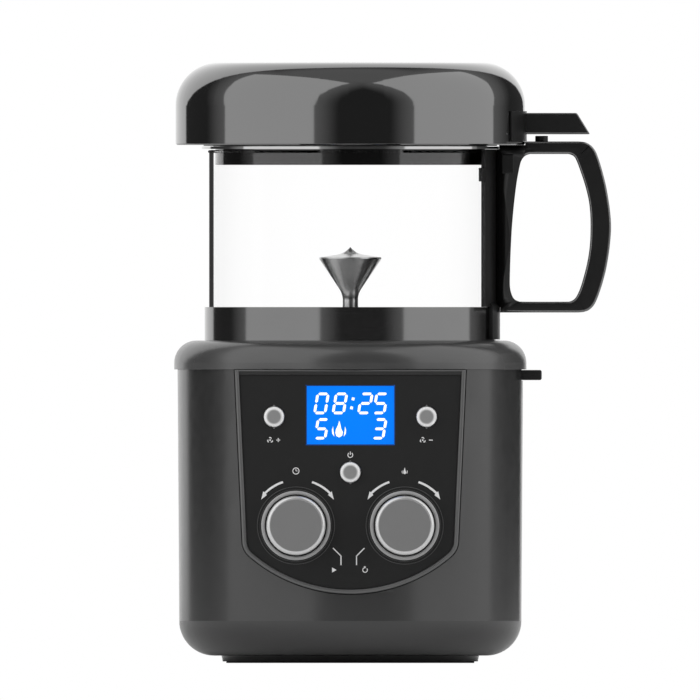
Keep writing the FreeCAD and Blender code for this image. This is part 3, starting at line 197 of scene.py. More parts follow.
def plastic(name, dark, light, roughness, grain=900, height=0.02 * MM, edge=0.25 * MM, shine=0.5):
    """Moulded plastic: an even colour with faint clouds, a fine spark-eroded grain and rounded edges."""
    made = Shader(name)
    cloud = made.noise(18, 3)
    made.link(made.mix(cloud, dark, light), made.bsdf.inputs["Base Color"])
    polish = made.spread(made.noise(140, 5), roughness - 0.04, roughness + 0.05)
    made.link(polish, made.bsdf.inputs["Roughness"])
    made.bump(made.noise(grain, 2), height, edge)
    return made.fixed(Specular_IOR_Level=shine).material


def metal(name, dark, light, roughness, stretch=(1, 1, 1), height=0.006 * MM, edge=0.2 * MM):
    """Metal with a soft brushing, stretched along the way it was worked."""
    made = Shader(name)
    brushing = made.noise(420, 6, stretch)
    made.link(made.mix(made.noise(25, 3), dark, light), made.bsdf.inputs["Base Color"])
    made.link(made.spread(brushing, roughness - 0.05, roughness + 0.06), made.bsdf.inputs["Roughness"])
    made.bump(brushing, height, edge)
    return made.fixed(Metallic=1.0).material


def lacquered_lid():
    """Gunmetal lacquer: a dark metal under a clear coat, with a very low orange-peel ripple."""
    made = Shader("gunmetal_lacquer")
    made.link(made.mix(made.noise(9, 2), 0.215, 0.24), made.bsdf.inputs["Base Color"])
    made.link(made.spread(made.noise(60, 4), 0.05, 0.09), made.bsdf.inputs["Roughness"])
    made.bump(made.noise(260, 2), 0.0015 * MM, 0.3 * MM)
    return made.fixed(Metallic=1.0, Coat_Weight=0.15, Coat_Roughness=0.05).material


def chamber_glass():
    """Clear glass with a slightly uneven gloss; the outer wall is painted near black as painted shade where
    it is seen edge on.
    """
    made = Shader("chamber_glass")
    clear = made.node("ShaderNodeBsdfTransparent")
    # A near-black surface for the painted shade on the glass wall seen edge on
    dark = made.node("ShaderNodeBsdfPrincipled")
    dark.inputs["Base Color"].default_value = rgba(0.004)
    dark.inputs["IOR"].default_value = 1.0
    facing = made.node("ShaderNodeLayerWeight")
    facing.inputs["Blend"].default_value = 0.5
    slant = facing.outputs["Facing"]
    outside = made.math("GREATER_THAN", made.distance_from((0, 0, 0), (1, 1, 0)), GLASS_MIDDLE)
    # Painted shade: the outer wall turns near black where it is seen edge on
    rim = made.math("MULTIPLY", made.ramp(slant, (0.0, 0.0), (0.735, 0.0), (0.775, 1.0)), outside)
    painted_edge_shade_mix = made.node("ShaderNodeMixShader")
    made.link(rim, painted_edge_shade_mix.inputs[0])
    made.link(clear.outputs[0], painted_edge_shade_mix.inputs[1]).link(dark.outputs[0], painted_edge_shade_mix.inputs[2])
    gloss = made.node("ShaderNodeBsdfGlossy")
    made.link(made.spread(made.noise(70, 4), 0.02, 0.05), gloss.inputs["Roughness"])
    shine = made.node("ShaderNodeMixShader")
    made.link(made.ramp(slant, (0.0, 0.0), (0.5, 0.012), (0.75, 0.03), (1.0, 0.06)), shine.inputs[0])
    made.link(painted_edge_shade_mix.outputs[0], shine.inputs[1]).link(gloss.outputs[0], shine.inputs[2])
    output = made.tree.nodes["Material Output"]
    made.link(shine.outputs[0], output.inputs["Surface"])
    return made.material


def face_with_painted_edge_highlight(name, centre, face_radius, face, ring, soft=0.15 * MM):
    """A satin grey face inside a bright edge that is a painted highlight on the rounded rim. Each is (grey,
    metallic, roughness).
    """
    made = Shader(name)
    edge = made.node("ShaderNodeMapRange", interpolation_type="SMOOTHSTEP")
    edge.inputs["From Min"].default_value = face_radius - soft
    edge.inputs["From Max"].default_value = face_radius + soft
    made.link(made.distance_from(centre, (1, 0, 1)), edge.inputs["Value"])
    # Painted highlight: beyond the face radius the rounded edge turns bright
    bright = edge.outputs["Result"]
    made.link(made.mix(bright, face[0], ring[0]), made.bsdf.inputs["Base Color"])
    made.link(made.spread(bright, face[1], ring[1]), made.bsdf.inputs["Metallic"])
    made.link(made.spread(bright, face[2], ring[2]), made.bsdf.inputs["Roughness"])
    made.bump(made.noise(1400, 2), 0.004 * MM, 0.25 * MM)
    return made.material


def skirt_painted_shade_metal():
    """The chaff collector's polished metal: a bright rolled flange, and the skirt inside the glass under the
    lid painted far darker as painted shade.
    """
    made = Shader("skirt_painted_shade_metal")
    out = made.math("GREATER_THAN", made.distance_from((0, 0, 0), (1, 1, 0)), SKIRT_RADIUS)
    # Painted shade: the skirt inside the glass under the lid gets a far darker metal colour than the flange
    made.link(made.mix(out, 0.095, 0.6), made.bsdf.inputs["Base Color"])
    made.link(made.spread(made.noise(90, 3), 0.05, 0.09), made.bsdf.inputs["Roughness"])
    return made.fixed(Metallic=1.0).material


def lit_screen():
    """The display's back light: azure, a little brighter in the middle."""
    made = Shader("lit_display")
    centre = middle("lcd_window")
    away = made.math("DIVIDE", made.distance_from(centre, (1, 0, 1.3)), 30 * MM)
    glow = made.ramp(away, (0.0, (0.0, 0.225, 1.0)), (0.7, (0.0, 0.21, 1.0)), (1.0, (0.0, 0.19, 0.95)))
    made.link(glow, made.bsdf.inputs["Emission Color"])
    return made.fixed(Base_Color=rgba((0.0, 0.03, 0.12)), Roughness=0.12, Emission_Strength=0.92).material


def white_print(name="white_print", strength=0.0):
    """White screen ink, a little uneven, or the lit segments of the display."""
    made = Shader(name)
    ink = made.mix(made.noise(600, 3), 0.78, 0.86)
    made.link(ink, made.bsdf.inputs["Base Color"])
    if strength:
        made.link(ink, made.bsdf.inputs["Emission Color"])
    return made.fixed(Roughness=0.5, Emission_Strength=strength).material


FINISHES = {
    "shell_plastic": plastic("shell_plastic", 0.013, 0.016, 0.19, height=0.004 * MM, shine=1.0),
    "cap_plastic": plastic("cap_plastic", 0.05, 0.06, 0.22, height=0.004 * MM, shine=1.0),
    "bottom_plastic": plastic("bottom_plastic", 0.006, 0.009, 0.2),
    "foot_rubber": plastic("foot_rubber", 0.012, 0.018, 0.75, grain=500, height=0.06 * MM),
    "panel_frame": plastic("panel_frame", 0.02, 0.026, 0.3, shine=0.8),
    "panel_print": plastic("panel_print", 0.0125, 0.0145, 0.6, grain=1500, height=0.01 * MM, shine=0.3),
    "display_blue": lit_screen(),
    "button_silver": metal("button_silver", 0.42, 0.5, 0.24),
    "knob_grey": metal("knob_grey", 0.2, 0.24, 0.35),
    "steel": metal("steel", 0.62, 0.72, 0.24, (1, 1, 8)),
    "dark_metal": metal("dark_metal", 0.205, 0.235, 0.1, (1, 1, 10), height=0.002 * MM),
    "lid_gloss": lacquered_lid(),
    "handle_plastic": plastic("handle_plastic", 0.0065, 0.0085, 0.3, grain=1100, height=0.008 * MM),
    # Painted highlight: a light metal colour for the bevels on the black handle and tab
    "edge_painted_highlight": metal("edge_painted_highlight", 0.2, 0.26, 0.24, edge=0),
    "chamber_glass": chamber_glass(),
    "silicone": plastic("silicone", 0.012, 0.018, 0.6, grain=300),
    "board_green": plastic("board_green", (0.01, 0.09, 0.035), (0.015, 0.12, 0.045), 0.4),
    "component_black": plastic("component_black", 0.012, 0.018, 0.45),
    "mica": plastic("mica", (0.45, 0.38, 0.27), (0.55, 0.48, 0.36), 0.4, grain=200),
    "heater_ribbon": metal("heater_ribbon", 0.2, 0.28, 0.4),
}


def dress_nodes():
    """Give each carried-over node the finish of its slot."""
    for entry in frame["record"]["subparts"]:
        piece = nodes[entry["node"]]
        piece.data.materials.clear()
        piece.data.materials.append(FINISHES[entry["material_slot"]])
    # Knobs: a painted highlight on their rounded edges
    for name, centre in KNOBS.items():
        finish = face_with_painted_edge_highlight(f"{name}_knob_face_and_painted_highlight", centre, 13.4 * MM, (0.2, 0.0, 0.45), (0.75, 0.6, 0.2))
        nodes[f"{name}_knob"].data.materials[0] = finish
    # Buttons: a painted highlight round their domed faces
    for name in BUTTONS:
        piece = f"{name}_button"
        face, ring = (0.26, 0.0, 0.4), (0.92, 0.0, 0.25)
        finish = face_with_painted_edge_highlight(f"{piece}_finish", middle(piece), 3.7 * MM, face, ring, 0.7 * MM)
        nodes[piece].data.materials[0] = finish
    # The collector's metal, with its skirt in painted shade
    nodes["collector_ring"].data.materials[0] = skirt_painted_shade_metal()
    trim = plastic("trim_ring", 0.36, 0.44, 0.22, height=0.003 * MM, shine=1.0)
    nodes["knob_trim_rings"].data.materials[0] = trim


# Printed marks and the display's segments


def slab(name, outlines, face, finish, body):
    """Flat shapes on the front, each an outline of (across, up) in millimetres, just off a face."""
    mesh = bmesh.new()
    for shape in outlines:
        front = [mesh.verts.new((x * MM, face - PRINT_LIFT - PRINT_DEPTH, z * MM)) for x, z in shape]
        back = [mesh.verts.new((x * MM, face - PRINT_LIFT, z * MM)) for x, z in shape]
        mesh.faces.new(front)
        mesh.faces.new(list(reversed(back)))
        for i in range(len(shape)):
            j = (i + 1) % len(shape)
            mesh.faces.new((front[j], front[i], back[i], back[j]))
    link_mesh(name, mesh, finish, body)


def round_point(cx, cz, radius, angle):
    """A point on a circle, at an angle in radians from +X towards +Z."""
    return cx + radius * math.cos(angle), cz + radius * math.sin(angle)


def arc_band(cx, cz, radius, start, end, width, steps=18):
    """A band along an arc, as one outline. Angles are degrees from +X towards +Z."""
    angles = [math.radians(start + (end - start) * i / steps) for i in range(steps + 1)]
    outer = [round_point(cx, cz, radius + width / 2, angle) for angle in angles]
    inner = [round_point(cx, cz, radius - width / 2, angle) for angle in angles]
    return outer + inner[::-1]


def stroke(x0, z0, x1, z1, width):
    """A straight bar between two points."""
    length = math.hypot(x1 - x0, z1 - z0)
    nx, nz = -(z1 - z0) / length * width / 2, (x1 - x0) / length * width / 2
    return [(x0 + nx, z0 + nz), (x0 - nx, z0 - nz), (x1 - nx, z1 - nz), (x1 + nx, z1 + nz)]


def disc(cx, cz, radius, steps=20):
    """A round dot."""
    turn = 2 * math.pi / steps
    return [round_point(cx, cz, radius, i * turn) for i in range(steps)]


SEGMENTS = {"0": "abcdef", "2": "abged", "3": "abgcd", "5": "afgcd", "8": "abcdefg"}
# The digits' lean, and the feet of the clock and of the set levels
SLANT = 0.17
CLOCK_LOW, LEVEL_LOW = 128.8, 115.8


def digit(character, left, low, width, height, thick=1.35, gap=0.28):
    """The lit segments of one slanted digit, each a bar with pointed ends."""
    half = thick / 2
    mid = height / 2
    ends = {
        "a": ((0, height), (width, height)),
        "b": ((width, height), (width, mid)),
        "c": ((width, mid), (width, 0)),
        "d": ((0, 0), (width, 0)),
        "e": ((0, mid), (0, 0)),
        "f": ((0, height), (0, mid)),
        "g": ((0, mid), (width, mid)),
    }
    shapes = []
    for name in SEGMENTS[character]:
        (x0, z0), (x1, z1) = ends[name]
        length = math.hypot(x1 - x0, z1 - z0)
        ux, uz = (x1 - x0) / length, (z1 - z0) / length
        along = [(gap, 0), (gap + half, half), (length - gap - half, half), (length - gap, 0),
                 (length - gap - half, -half), (gap + half, -half)]
        points = [(x0 + ux * t - uz * s, z0 + uz * t + ux * s) for t, s in along]
        shapes.append([(left + x + SLANT * z, low + z) for x, z in points])
    return shapes


def flame(cx, low, height):
    """A flame of three tongues."""
    centre = [
        (0, 0), (1.5, 0.8), (1.9, 2.6), (1.0, 4.4), (0.7, 6.2),
        (0.1, 8.2), (-0.5, 6.0), (-1.5, 4.0), (-1.8, 2.2), (-1.3, 0.7),
    ]
    side = [(2.3, 0.4), (3.3, 1.8), (3.5, 3.6), (2.9, 5.4), (2.8, 3.6), (2.5, 1.8)]
    scale = height / max(z for _, z in centre)
    return [
        [(cx + x * scale, low + z * scale) for x, z in centre],
        [(cx + x * scale, low + z * scale) for x, z in side],
        [(cx - x * scale, low + z * scale) for x, z in reversed(side)],
    ]


def display_segments():
    """A running clock, two set levels and the heating sign."""
    shapes = []
    for character, left in (("0", -18.4), ("8", -8.9), ("2", 4.2), ("5", 12.0)):
        shapes += digit(character, left, CLOCK_LOW, 5.4, 9.8)
    for up in (131.4, 136.0):
        dot = stroke(0.1, up - 0.7, 0.1 + 1.4 * SLANT, up + 0.7, 1.4)
        shapes.append([(x + SLANT * (up - CLOCK_LOW), z) for x, z in dot])
    for character, left in (("5", -18.2), ("3", 11.6)):
        shapes += digit(character, left, LEVEL_LOW, 5.2, 9.6)
    shapes += flame(-5.8, 116.2, 8.6)
    slab("display_segments", shapes, SCREEN_FACE, white_print("lit_segments", 0.85), "base")


# An arrow's sizes in millimetres, and its angles in degrees from straight up
ARROW_RADIUS, ARROW_WIDTH, HEAD_HALF, TIP_INSET = 23.6, 1.1, 1.35, 0.6
ARROW_START, ARROW_END, HEAD_SPAN = 18.5, 45, 9.5


def knob_arrows(cx, cz):
    """Two arcs with arrow heads over a knob."""
    shapes = []
    for side in (-1, 1):
        start, end = 90 - side * ARROW_START, 90 - side * ARROW_END
        shapes.append(arc_band(cx, cz, ARROW_RADIUS, start, end, ARROW_WIDTH))
        neck, tip = math.radians(end), math.radians(end - side * HEAD_SPAN)
        shapes.append([
            round_point(cx, cz, ARROW_RADIUS - HEAD_HALF, neck),
            round_point(cx, cz, ARROW_RADIUS - TIP_INSET, tip),
            round_point(cx, cz, ARROW_RADIUS + HEAD_HALF, neck),
        ])
    return shapes


def fan_sign(cx, cz, plus):
    """A small three-bladed fan with a plus or a minus."""
    shapes = [disc(cx - 2.0, cz, 0.42)]
    for turn in (90, 210, 330):
        blade = round_point(cx - 2.0, cz, 0.8, math.radians(turn))
        shapes.append(arc_band(*blade, 0.55, turn - 100, turn + 60, 0.5, 8))
    shapes.append(stroke(cx + 1.2, cz, cx + 3.2, cz, 0.45))
    if plus:
        shapes.append(stroke(cx + 2.2, cz - 1.0, cx + 2.2, cz + 1.0, 0.45))
    return shapes


def panel_print():
    """Signs in place of words: fan up and down, power, clock, flame, start and repeat."""
    shapes = []
    for name, shift in (("time", 0.8), ("heat", -0.4)):
        shapes += knob_arrows(KNOBS[name].x / MM + shift, KNOBS[name].z / MM)
    plus, minus, power = (middle(f"{n}_button") / MM for n in ("fan_plus", "fan_minus", "power"))
    shapes += fan_sign(plus.x, 114.8, True) + fan_sign(minus.x, 114.8, False)
    shapes.append(arc_band(power.x, 107.1, 1.25, 125, 415, 0.42))
    shapes.append(stroke(power.x, 107.2, power.x, 108.9, 0.42))
    clock = (KNOBS["time"].x / MM, 98.9)
    shapes.append(arc_band(*clock, 1.6, 0, 359, 0.4, 28))
    for across, up in ((0, 1.1), (0.8, 0)):
        shapes.append(stroke(*clock, clock[0] + across, clock[1] + up, 0.35))
    shapes += flame(KNOBS["heat"].x / MM, 97.2, 3.5)
    for side in (-1, 1):
        turn = -4.8 if side < 0 else 3.2
        shapes += [stroke(turn + side * 4.1, 59.2, turn, 55.1, 0.55), stroke(turn, 55.3, turn, 50.4, 0.55)]
    shapes.append([(-9.4, 46.6), (-9.4, 49.2), (-7.1, 47.9)])
    shapes.append(arc_band(7.6, 47.9, 1.2, 100, 400, 0.4))
    shapes.append([(8.1, 49.6), (6.9, 49.9), (7.6, 48.6)])
    slab("panel_signs", shapes, PANEL_FACE, white_print(), "base")


# The handle, the tab, the panel's rim and small trim

HANDLE_LOW, HANDLE_TOP = 180.5, 268.6
BOW_OUTSIDE = (
    (117.5, HANDLE_LOW), (120.3, 180.8), (123.1, 181.9), (125.4, 184.2), (126.9, 187.0), (128.3, 190.7),
    (130.1, 196.3), (131.8, 203.1), (133.1, 210.6), (133.9, 217.4), (134.3, 224.0), (134.0, 230.5),
    (133.1, 237.8), (131.6, 246.1), (129.5, 254.4), (127.6, 260.4), (126.2, 263.7), (124.1, 266.4),
    (121.5, 268.0), (118.9, 268.5), (116.0, HANDLE_TOP),
)
OPENING = (
    (86.6, 186.3), (89.5, 186.1), (110.0, 186.1), (113.2, 186.3), (115.3, 187.4), (116.9, 189.6),
    (118.6, 193.6), (120.3, 199.3), (121.8, 205.3), (122.9, 211.4), (123.5, 217.4), (123.7, 223.5),
    (123.6, 230.3), (122.9, 237.5), (121.2, 245.0), (118.9, 252.2), (116.7, 258.2), (115.2, 260.8),
    (112.7, 262.0), (109.5, 262.1), (95.0, 262.1), (92.3, 262.0), (89.9, 261.0), (88.2, 258.9),
    (87.2, 255.6), (85.7, 247.6), (84.3, 236.2), (83.3, 225.0), (82.7, 214.4), (82.3, 203.1),
    (82.2, 194.6), (82.9, 190.4), (84.3, 187.6),
)


def smooth_run(points, closed=False, steps=4):
    """Points along a Catmull-Rom curve through the given ones."""
    count = len(points)
    made = []
    for i in range(count if closed else count - 1):
        spots = [i - 1, i, i + 1, i + 2]
        spots = [j % count for j in spots] if closed else [min(max(j, 0), count - 1) for j in spots]
        a, b, c, d = (Vector(points[j]) for j in spots)
        for k in range(steps):
            t = k / steps
            square = (2 * a - 5 * b + 4 * c - d) * t * t
            cube = (3 * b - a - 3 * c + d) * t ** 3
            made.append(0.5 * (2 * b + (c - a) * t + square + cube))
    return made if closed else made + [Vector(points[-1])]


def link_mesh(name, mesh, finish, body):
    """A bmesh made into a piece that rides on a body."""
    bmesh.ops.recalc_face_normals(mesh, faces=mesh.faces)
    data = bpy.data.meshes.new(name)
    mesh.to_mesh(data)
    mesh.free()
    piece = bpy.data.objects.new(name, data)
    bpy.context.scene.collection.objects.link(piece)
    data.materials.append(finish)
    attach(piece, body)
    return piece


def settle(piece):
    """Put a piece's modifiers into its mesh."""
    evaluated = piece.evaluated_get(bpy.context.evaluated_depsgraph_get())
    data = bpy.data.meshes.new_from_object(evaluated)
    piece.modifiers.clear()
    piece.data = data


def plate_with_hole(loops, half):
    """A thick plate between two loops of (across, up) in millimetres, standing square to the front."""
    mesh = bmesh.new()
    mesh.edges.layers.float.new("bevel_weight_edge")
    edges = []
    for loop in loops:
        ring = [mesh.verts.new((x * MM, -half, z * MM)) for x, z in loop]
        edges += [mesh.edges.new((ring[i - 1], ring[i])) for i in range(len(ring))]
    bmesh.ops.triangle_fill(mesh, use_beauty=True, edges=edges)
    made = bmesh.ops.extrude_face_region(mesh, geom=mesh.faces[:])
    moved = [part for part in made["geom"] if isinstance(part, bmesh.types.BMVert)]
    bmesh.ops.translate(mesh, verts=moved, vec=(0, 2 * half, 0))
    for face in mesh.faces:
        face.smooth = True
    return mesh


def bowed_handle():
    """The D handle with its even bows, close round the lid's rim, and a hole for the interlock pin."""
    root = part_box("handle")[0].x / MM - 0.25
    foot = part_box("handle_back")[1].x / MM + 0.05
    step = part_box("chamber_collar")[1].z / MM
    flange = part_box("collector_ring")[1].x / MM + 0.05
    flange_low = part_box("collector_ring")[1].z / MM - 1.35
    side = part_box("lid_dome")[1].x / MM + 0.08
    lid_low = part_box("lid_dome")[0].z / MM - 0.03
    steps = [
        (side, HANDLE_TOP), (side, lid_low), (flange, lid_low), (flange, flange_low), (root, flange_low),
        (root, step + 0.4), (foot, step + 0.1), (foot, HANDLE_LOW),
    ]
    loops = [[*smooth_run(BOW_OUTSIDE), *(Vector(spot) for spot in steps)], smooth_run(OPENING, closed=True)]
    mesh = plate_with_hole(loops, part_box("handle")[1].y)
    for edge in mesh.edges:
        inner = all(v.co.x < side * MM + 0.01 * MM for v in edge.verts)
        if not inner and edge.calc_face_angle() > 1.0:
            edge[mesh.edges.layers.float["bevel_weight_edge"]] = 1.0
    piece = link_mesh("bowed_handle", mesh, FINISHES["handle_plastic"], "jar")
    # The bevel faces take the painted highlight
    piece.data.materials.append(FINISHES["edge_painted_highlight"])
    soft = piece.modifiers.new("soft", "BEVEL")
    soft.limit_method, soft.width, soft.segments, soft.material = "WEIGHT", 1.1 * MM, 4, 1
    pin_low, pin_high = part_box("interlock_pin")
    top = HANDLE_TOP * MM
    bpy.ops.mesh.primitive_cylinder_add(
        vertices=48, radius=(pin_high.x - pin_low.x) / 2 + 0.3 * MM,
        depth=2 * (top - pin_low.z + 1.5 * MM), location=((pin_high.x + pin_low.x) / 2, 0, top),
    )
    drill = bpy.context.object
    bore = piece.modifiers.new("bore", "BOOLEAN")
    bore.operation, bore.solver, bore.object = "DIFFERENCE", "EXACT", drill
    even = piece.modifiers.new("even", "WEIGHTED_NORMAL")
    even.keep_sharp = True
    settle(piece)
    bpy.data.objects.remove(drill)
    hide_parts("handle")


def curved_sheet(mesh, inside, outside, half_angle, low, high, steps=24):
    """A sheet bent round the roasting axis, centred on +X."""
    rows = []
    for i in range(steps + 1):
        turn = math.radians(half_angle * (2 * i / steps - 1))
        way = (math.cos(turn), math.sin(turn))
        corners = ((inside, low), (outside, low), (outside, high), (inside, high))
        rows.append([mesh.verts.new((way[0] * r * MM, way[1] * r * MM, z * MM)) for r, z in corners])
    for near, far in zip(rows, rows[1:]):
        for j in range(4):
            mesh.faces.new((near[j], near[(j + 1) % 4], far[(j + 1) % 4], far[j]))
    mesh.faces.new(rows[0])
    mesh.faces.new(rows[-1])


# The strip's inner radius and half angle
STRIP_INSIDE, STRIP_ANGLE = 73.4, 23.3


def back_strip():
    """The strip behind the handle, up to the collector's flange and a little further round the glass."""
    mesh = bmesh.new()
    flange_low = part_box("collector_ring")[1].z / MM - 1.4
    collar_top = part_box("chamber_collar")[1].z / MM + 0.05
    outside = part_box("handle")[0].x / MM - 0.2
    curved_sheet(mesh, STRIP_INSIDE, outside, STRIP_ANGLE, collar_top, flange_low)
    link_mesh("back_strip", mesh, FINISHES["handle_plastic"], "jar")


# The tab's tip, shoulder and top, and the saddle's half angle, foot and top
TAB_TIP, TAB_SHOULDER, TAB_TOP, TAB_HALF = 123.5, 116.7, 283.3, 10
SADDLE_ANGLE, SADDLE_LOW, SADDLE_TOP = 23.9, 268.7, 284.2


def tab_with_saddle():
    """The lid's tab, slanted at its tip, with its saddle round the lid's side."""
    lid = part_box("lid_dome")[1].x / MM
    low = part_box("lid_tab")[0].z / MM
    mesh = bmesh.new()
    curved_sheet(mesh, lid + 0.02, lid + 0.9, SADDLE_ANGLE, SADDLE_LOW, SADDLE_TOP)
    saddle = link_mesh("tab_saddle", mesh, FINISHES["handle_plastic"], "lid")
    mesh = bmesh.new()
    bevel = mesh.edges.layers.float.new("bevel_weight_edge")
    outline = [(lid + 0.1, low), (TAB_TIP, low), (TAB_SHOULDER, TAB_TOP), (lid + 0.1, TAB_TOP)]
    half = TAB_HALF * MM
    near, far = ([mesh.verts.new((x * MM, y, z * MM)) for x, z in outline] for y in (-half, half))
    mesh.faces.new(near)
    mesh.faces.new(far)
    for i in range(4):
        mesh.faces.new((near[i], near[(i + 1) % 4], far[(i + 1) % 4], far[i]))
    for edge in mesh.edges:
        if any(v.co.x > (lid + 1) * MM for v in edge.verts):
            edge[bevel] = 1.0
    blade = link_mesh("tab_blade", mesh, FINISHES["handle_plastic"], "lid")
    # The bevel faces take the painted highlight
    blade.data.materials.append(FINISHES["edge_painted_highlight"])
    soft = blade.modifiers.new("soft", "BEVEL")
    soft.limit_method, soft.width, soft.segments, soft.material = "WEIGHT", 0.8 * MM, 3, 1
    settle(blade)
    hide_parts("lid_tab")
    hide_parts("lid_tab")


def glass_bead():
    """The fire-polished bead at the top of the glass, in place of the band inside the flange's shadow."""
    top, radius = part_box("glass_cylinder")[1].z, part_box("glass_cylinder")[1].x
    bpy.ops.mesh.primitive_torus_add(
        location=(0, 0, top - 0.8 * MM), major_radius=radius - 0.1 * MM, minor_radius=0.7 * MM,
        major_segments=128, minor_segments=12,
    )
    bead = bpy.context.object
    bead.name = "glass_bead"
    bead.data.transform(bead.matrix_world)
    bead.matrix_world.identity()
    bead.data.shade_smooth()
    bead.data.materials.append(FINISHES["chamber_glass"])
    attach(bead, "jar")
    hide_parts("rim_band")


def front_outline(node, inset):
    """The outline of a node's front face as (across, up), taken in a little."""
    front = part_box(node)[0].y + 0.05 * MM
    spots = [Vector((v.co.x, v.co.z)) for v in nodes[node].data.vertices if v.co.y < front]
    loop = [spots[i] for i in geometry.convex_hull_2d(spots)]
    loop = [spot for i, spot in enumerate(loop) if (spot - loop[i - 1]).length > 0.2 * MM]
    made = []
    for i, spot in enumerate(loop):
        along = (loop[(i + 1) % len(loop)] - spot).normalized() + (spot - loop[i - 1]).normalized()
        inward = Vector((-along.y, along.x)).normalized()
        centre = Vector((0, (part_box(node)[0].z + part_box(node)[1].z) / 2))
        if inward.dot(centre - spot) < 0:
            inward = -inward
        half_turn = (spot - loop[i - 1]).angle(loop[(i + 1) % len(loop)] - spot) / 2
        made.append(spot + inward * inset / math.cos(half_turn))
    return made


# The moulding's section as (inset, rise) in millimetres
RIM_SECTION = ((0.12, 0.0), (0.35, 0.3), (0.8, 0.5), (1.2, 0.55), (1.6, 0.5), (2.05, 0.3), (2.28, 0.0))


def panel_rim():
    """A low half-round moulding on the panel frame's rim, narrower along the top; its curve takes real
    reflections, and its grey, lighter than the frame's, is a painted highlight.
    """
    face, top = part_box("panel_bezel")[0].y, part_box("panel_bezel")[1].z
    mesh = bmesh.new()
    rings = []
    for inset, rise in RIM_SECTION:
        loop = front_outline("panel_bezel", inset * MM)
        for spot in loop:
            if spot.y > top - (inset + 0.01) * MM:
                spot.y = top - 0.3 * inset * MM
        rings.append([mesh.verts.new((spot.x, face - (0.02 + rise) * MM, spot.y)) for spot in loop])
    count = len(rings[0])
    for low, high in zip(rings, rings[1:] + rings[:1]):
        for i in range(count):
            mesh.faces.new((low[i], low[(i + 1) % count], high[(i + 1) % count], high[i])).smooth = True
    # Painted highlight: the moulding is a lighter grey than the panel frame
    finish = plastic("panel_rim", 0.085, 0.1, 0.32, grain=1100, height=0.01 * MM, shine=1.0)
    link_mesh("panel_rim", mesh, finish, "base")


def ring_of_print(cx, cz, radius, width):
    """A thin printed ring as two half bands."""
    return [arc_band(cx, cz, radius, start, start + 180, width, 48) for start in (0, 180)]


def seat_lines():
    """Painted highlights on the edges of the moulded ring round each knob, drawn as thin grey lines, and the
    pips over and under each button.
    """
    # Painted highlight: thin grey lines for the lit edges of each knob's moulded seat
    dim = plastic("seat_line", 0.075, 0.09, 0.4)
    shapes = []
    for centre in KNOBS.values():
        for radius, width in ((19.9, 0.3), (18.5, 0.2)):
            shapes += ring_of_print(centre.x / MM, centre.z / MM, radius, width)
    slab("knob_seat_painted_highlights", shapes, PANEL_FACE, dim, "base")
    pips = []
    for name in BUTTONS:
        centre = middle(f"{name}_button") / MM
        pips += [disc(centre.x, centre.z + side * 5.6, 0.5) for side in (-1, 1)]
    slab("button_pips", pips, PANEL_FACE, plastic("pip_grey", 0.16, 0.2, 0.4), "base")


def screen_shade():
    """The shadow of the window's edge on the lit screen."""
    low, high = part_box("lcd_window")
    left, right, down, up = low.x / MM + 0.2, high.x / MM - 0.2, low.z / MM + 0.2, high.z / MM - 0.2
    shapes = [
        stroke(left, up, right, up, 0.5), stroke(left, down, right, down, 0.3),
        stroke(left, down, left, up, 0.5), stroke(right, down, right, up, 0.3),
    ]
    dim = plastic("screen_edge", (0.0, 0.03, 0.16), (0.0, 0.04, 0.2), 0.4)
    slab("screen_shade", shapes, SCREEN_FACE, dim, "base")


# Studio

# An edge is a direction and the most that a lit way may lean towards it
PANELS = (
    (((-0.383, 0.911, -0.151), 0.402), ((0.741, 0.428, 0.517), 0.247), ((0.776, -0.631, -0.025), 0.253)),
    (((-0.520, -0.854, 0.007), 0.264), ((-0.920, 0.221, 0.324), 0.009), ((0.238, 0.953, -0.191), 0.539)),
)
BACKDROP = ((0.189, -0.915, -0.356), -0.833)
CEILING = ((0, 0, -1), -0.95)
CRISP, HAZE, CEILING_HAZE = 0.02, 0.36, 0.23
HAZE_LEVEL, DARK_LEVEL, FILL_LEVEL = 0.3, 0.05, 0.5
SOFTBOX_HEIGHT, SOFTBOX_AWAY, SOFTBOX_LEVEL = 3.0, 1.0, 0.25


def world_light():
    """White for the camera, a plain fill for matt surfaces, and panels, backdrop and ceiling for gloss."""
    world = bpy.data.worlds.new("studio")
    world.use_nodes = True
    world.cycles.sampling_method = "NONE"
    bpy.context.scene.world = world
    sky = Tree(world.node_tree)
    way = sky.node("ShaderNodeTexCoord").outputs["Generated"]
    seen = sky.math("MAXIMUM", sky.within(way, BACKDROP, CRISP), DARK_LEVEL)
    seen = sky.math("MAXIMUM", seen, sky.math("MULTIPLY", sky.within(way, CEILING, CEILING_HAZE), HAZE_LEVEL))
    for edges in PANELS:
        for soft, level in ((CRISP, 1.0), (HAZE, HAZE_LEVEL)):
            lit = level
            for edge in edges:
                lit = sky.math("MULTIPLY", sky.within(way, edge, soft), lit)
            seen = sky.math("MAXIMUM", seen, lit)
    path = sky.node("ShaderNodeLightPath")
    glossy = sky.node("ShaderNodeMix")
    glossy.inputs[2].default_value = FILL_LEVEL
    sky.link(path.outputs["Is Glossy Ray"], glossy.inputs[0]).link(seen, glossy.inputs[3])
    clear = sky.math("MAXIMUM", path.outputs["Is Camera Ray"], path.outputs["Is Transmission Ray"])
    final = sky.node("ShaderNodeMix")
    final.inputs[3].default_value = 1.0
    sky.link(clear, final.inputs[0]).link(glossy.outputs[0], final.inputs[2])
    background = sky.tree.nodes["Background"]
    sky.link(final.outputs[0], background.inputs["Strength"])
    background.inputs["Color"].default_value = (1, 1, 1, 1)


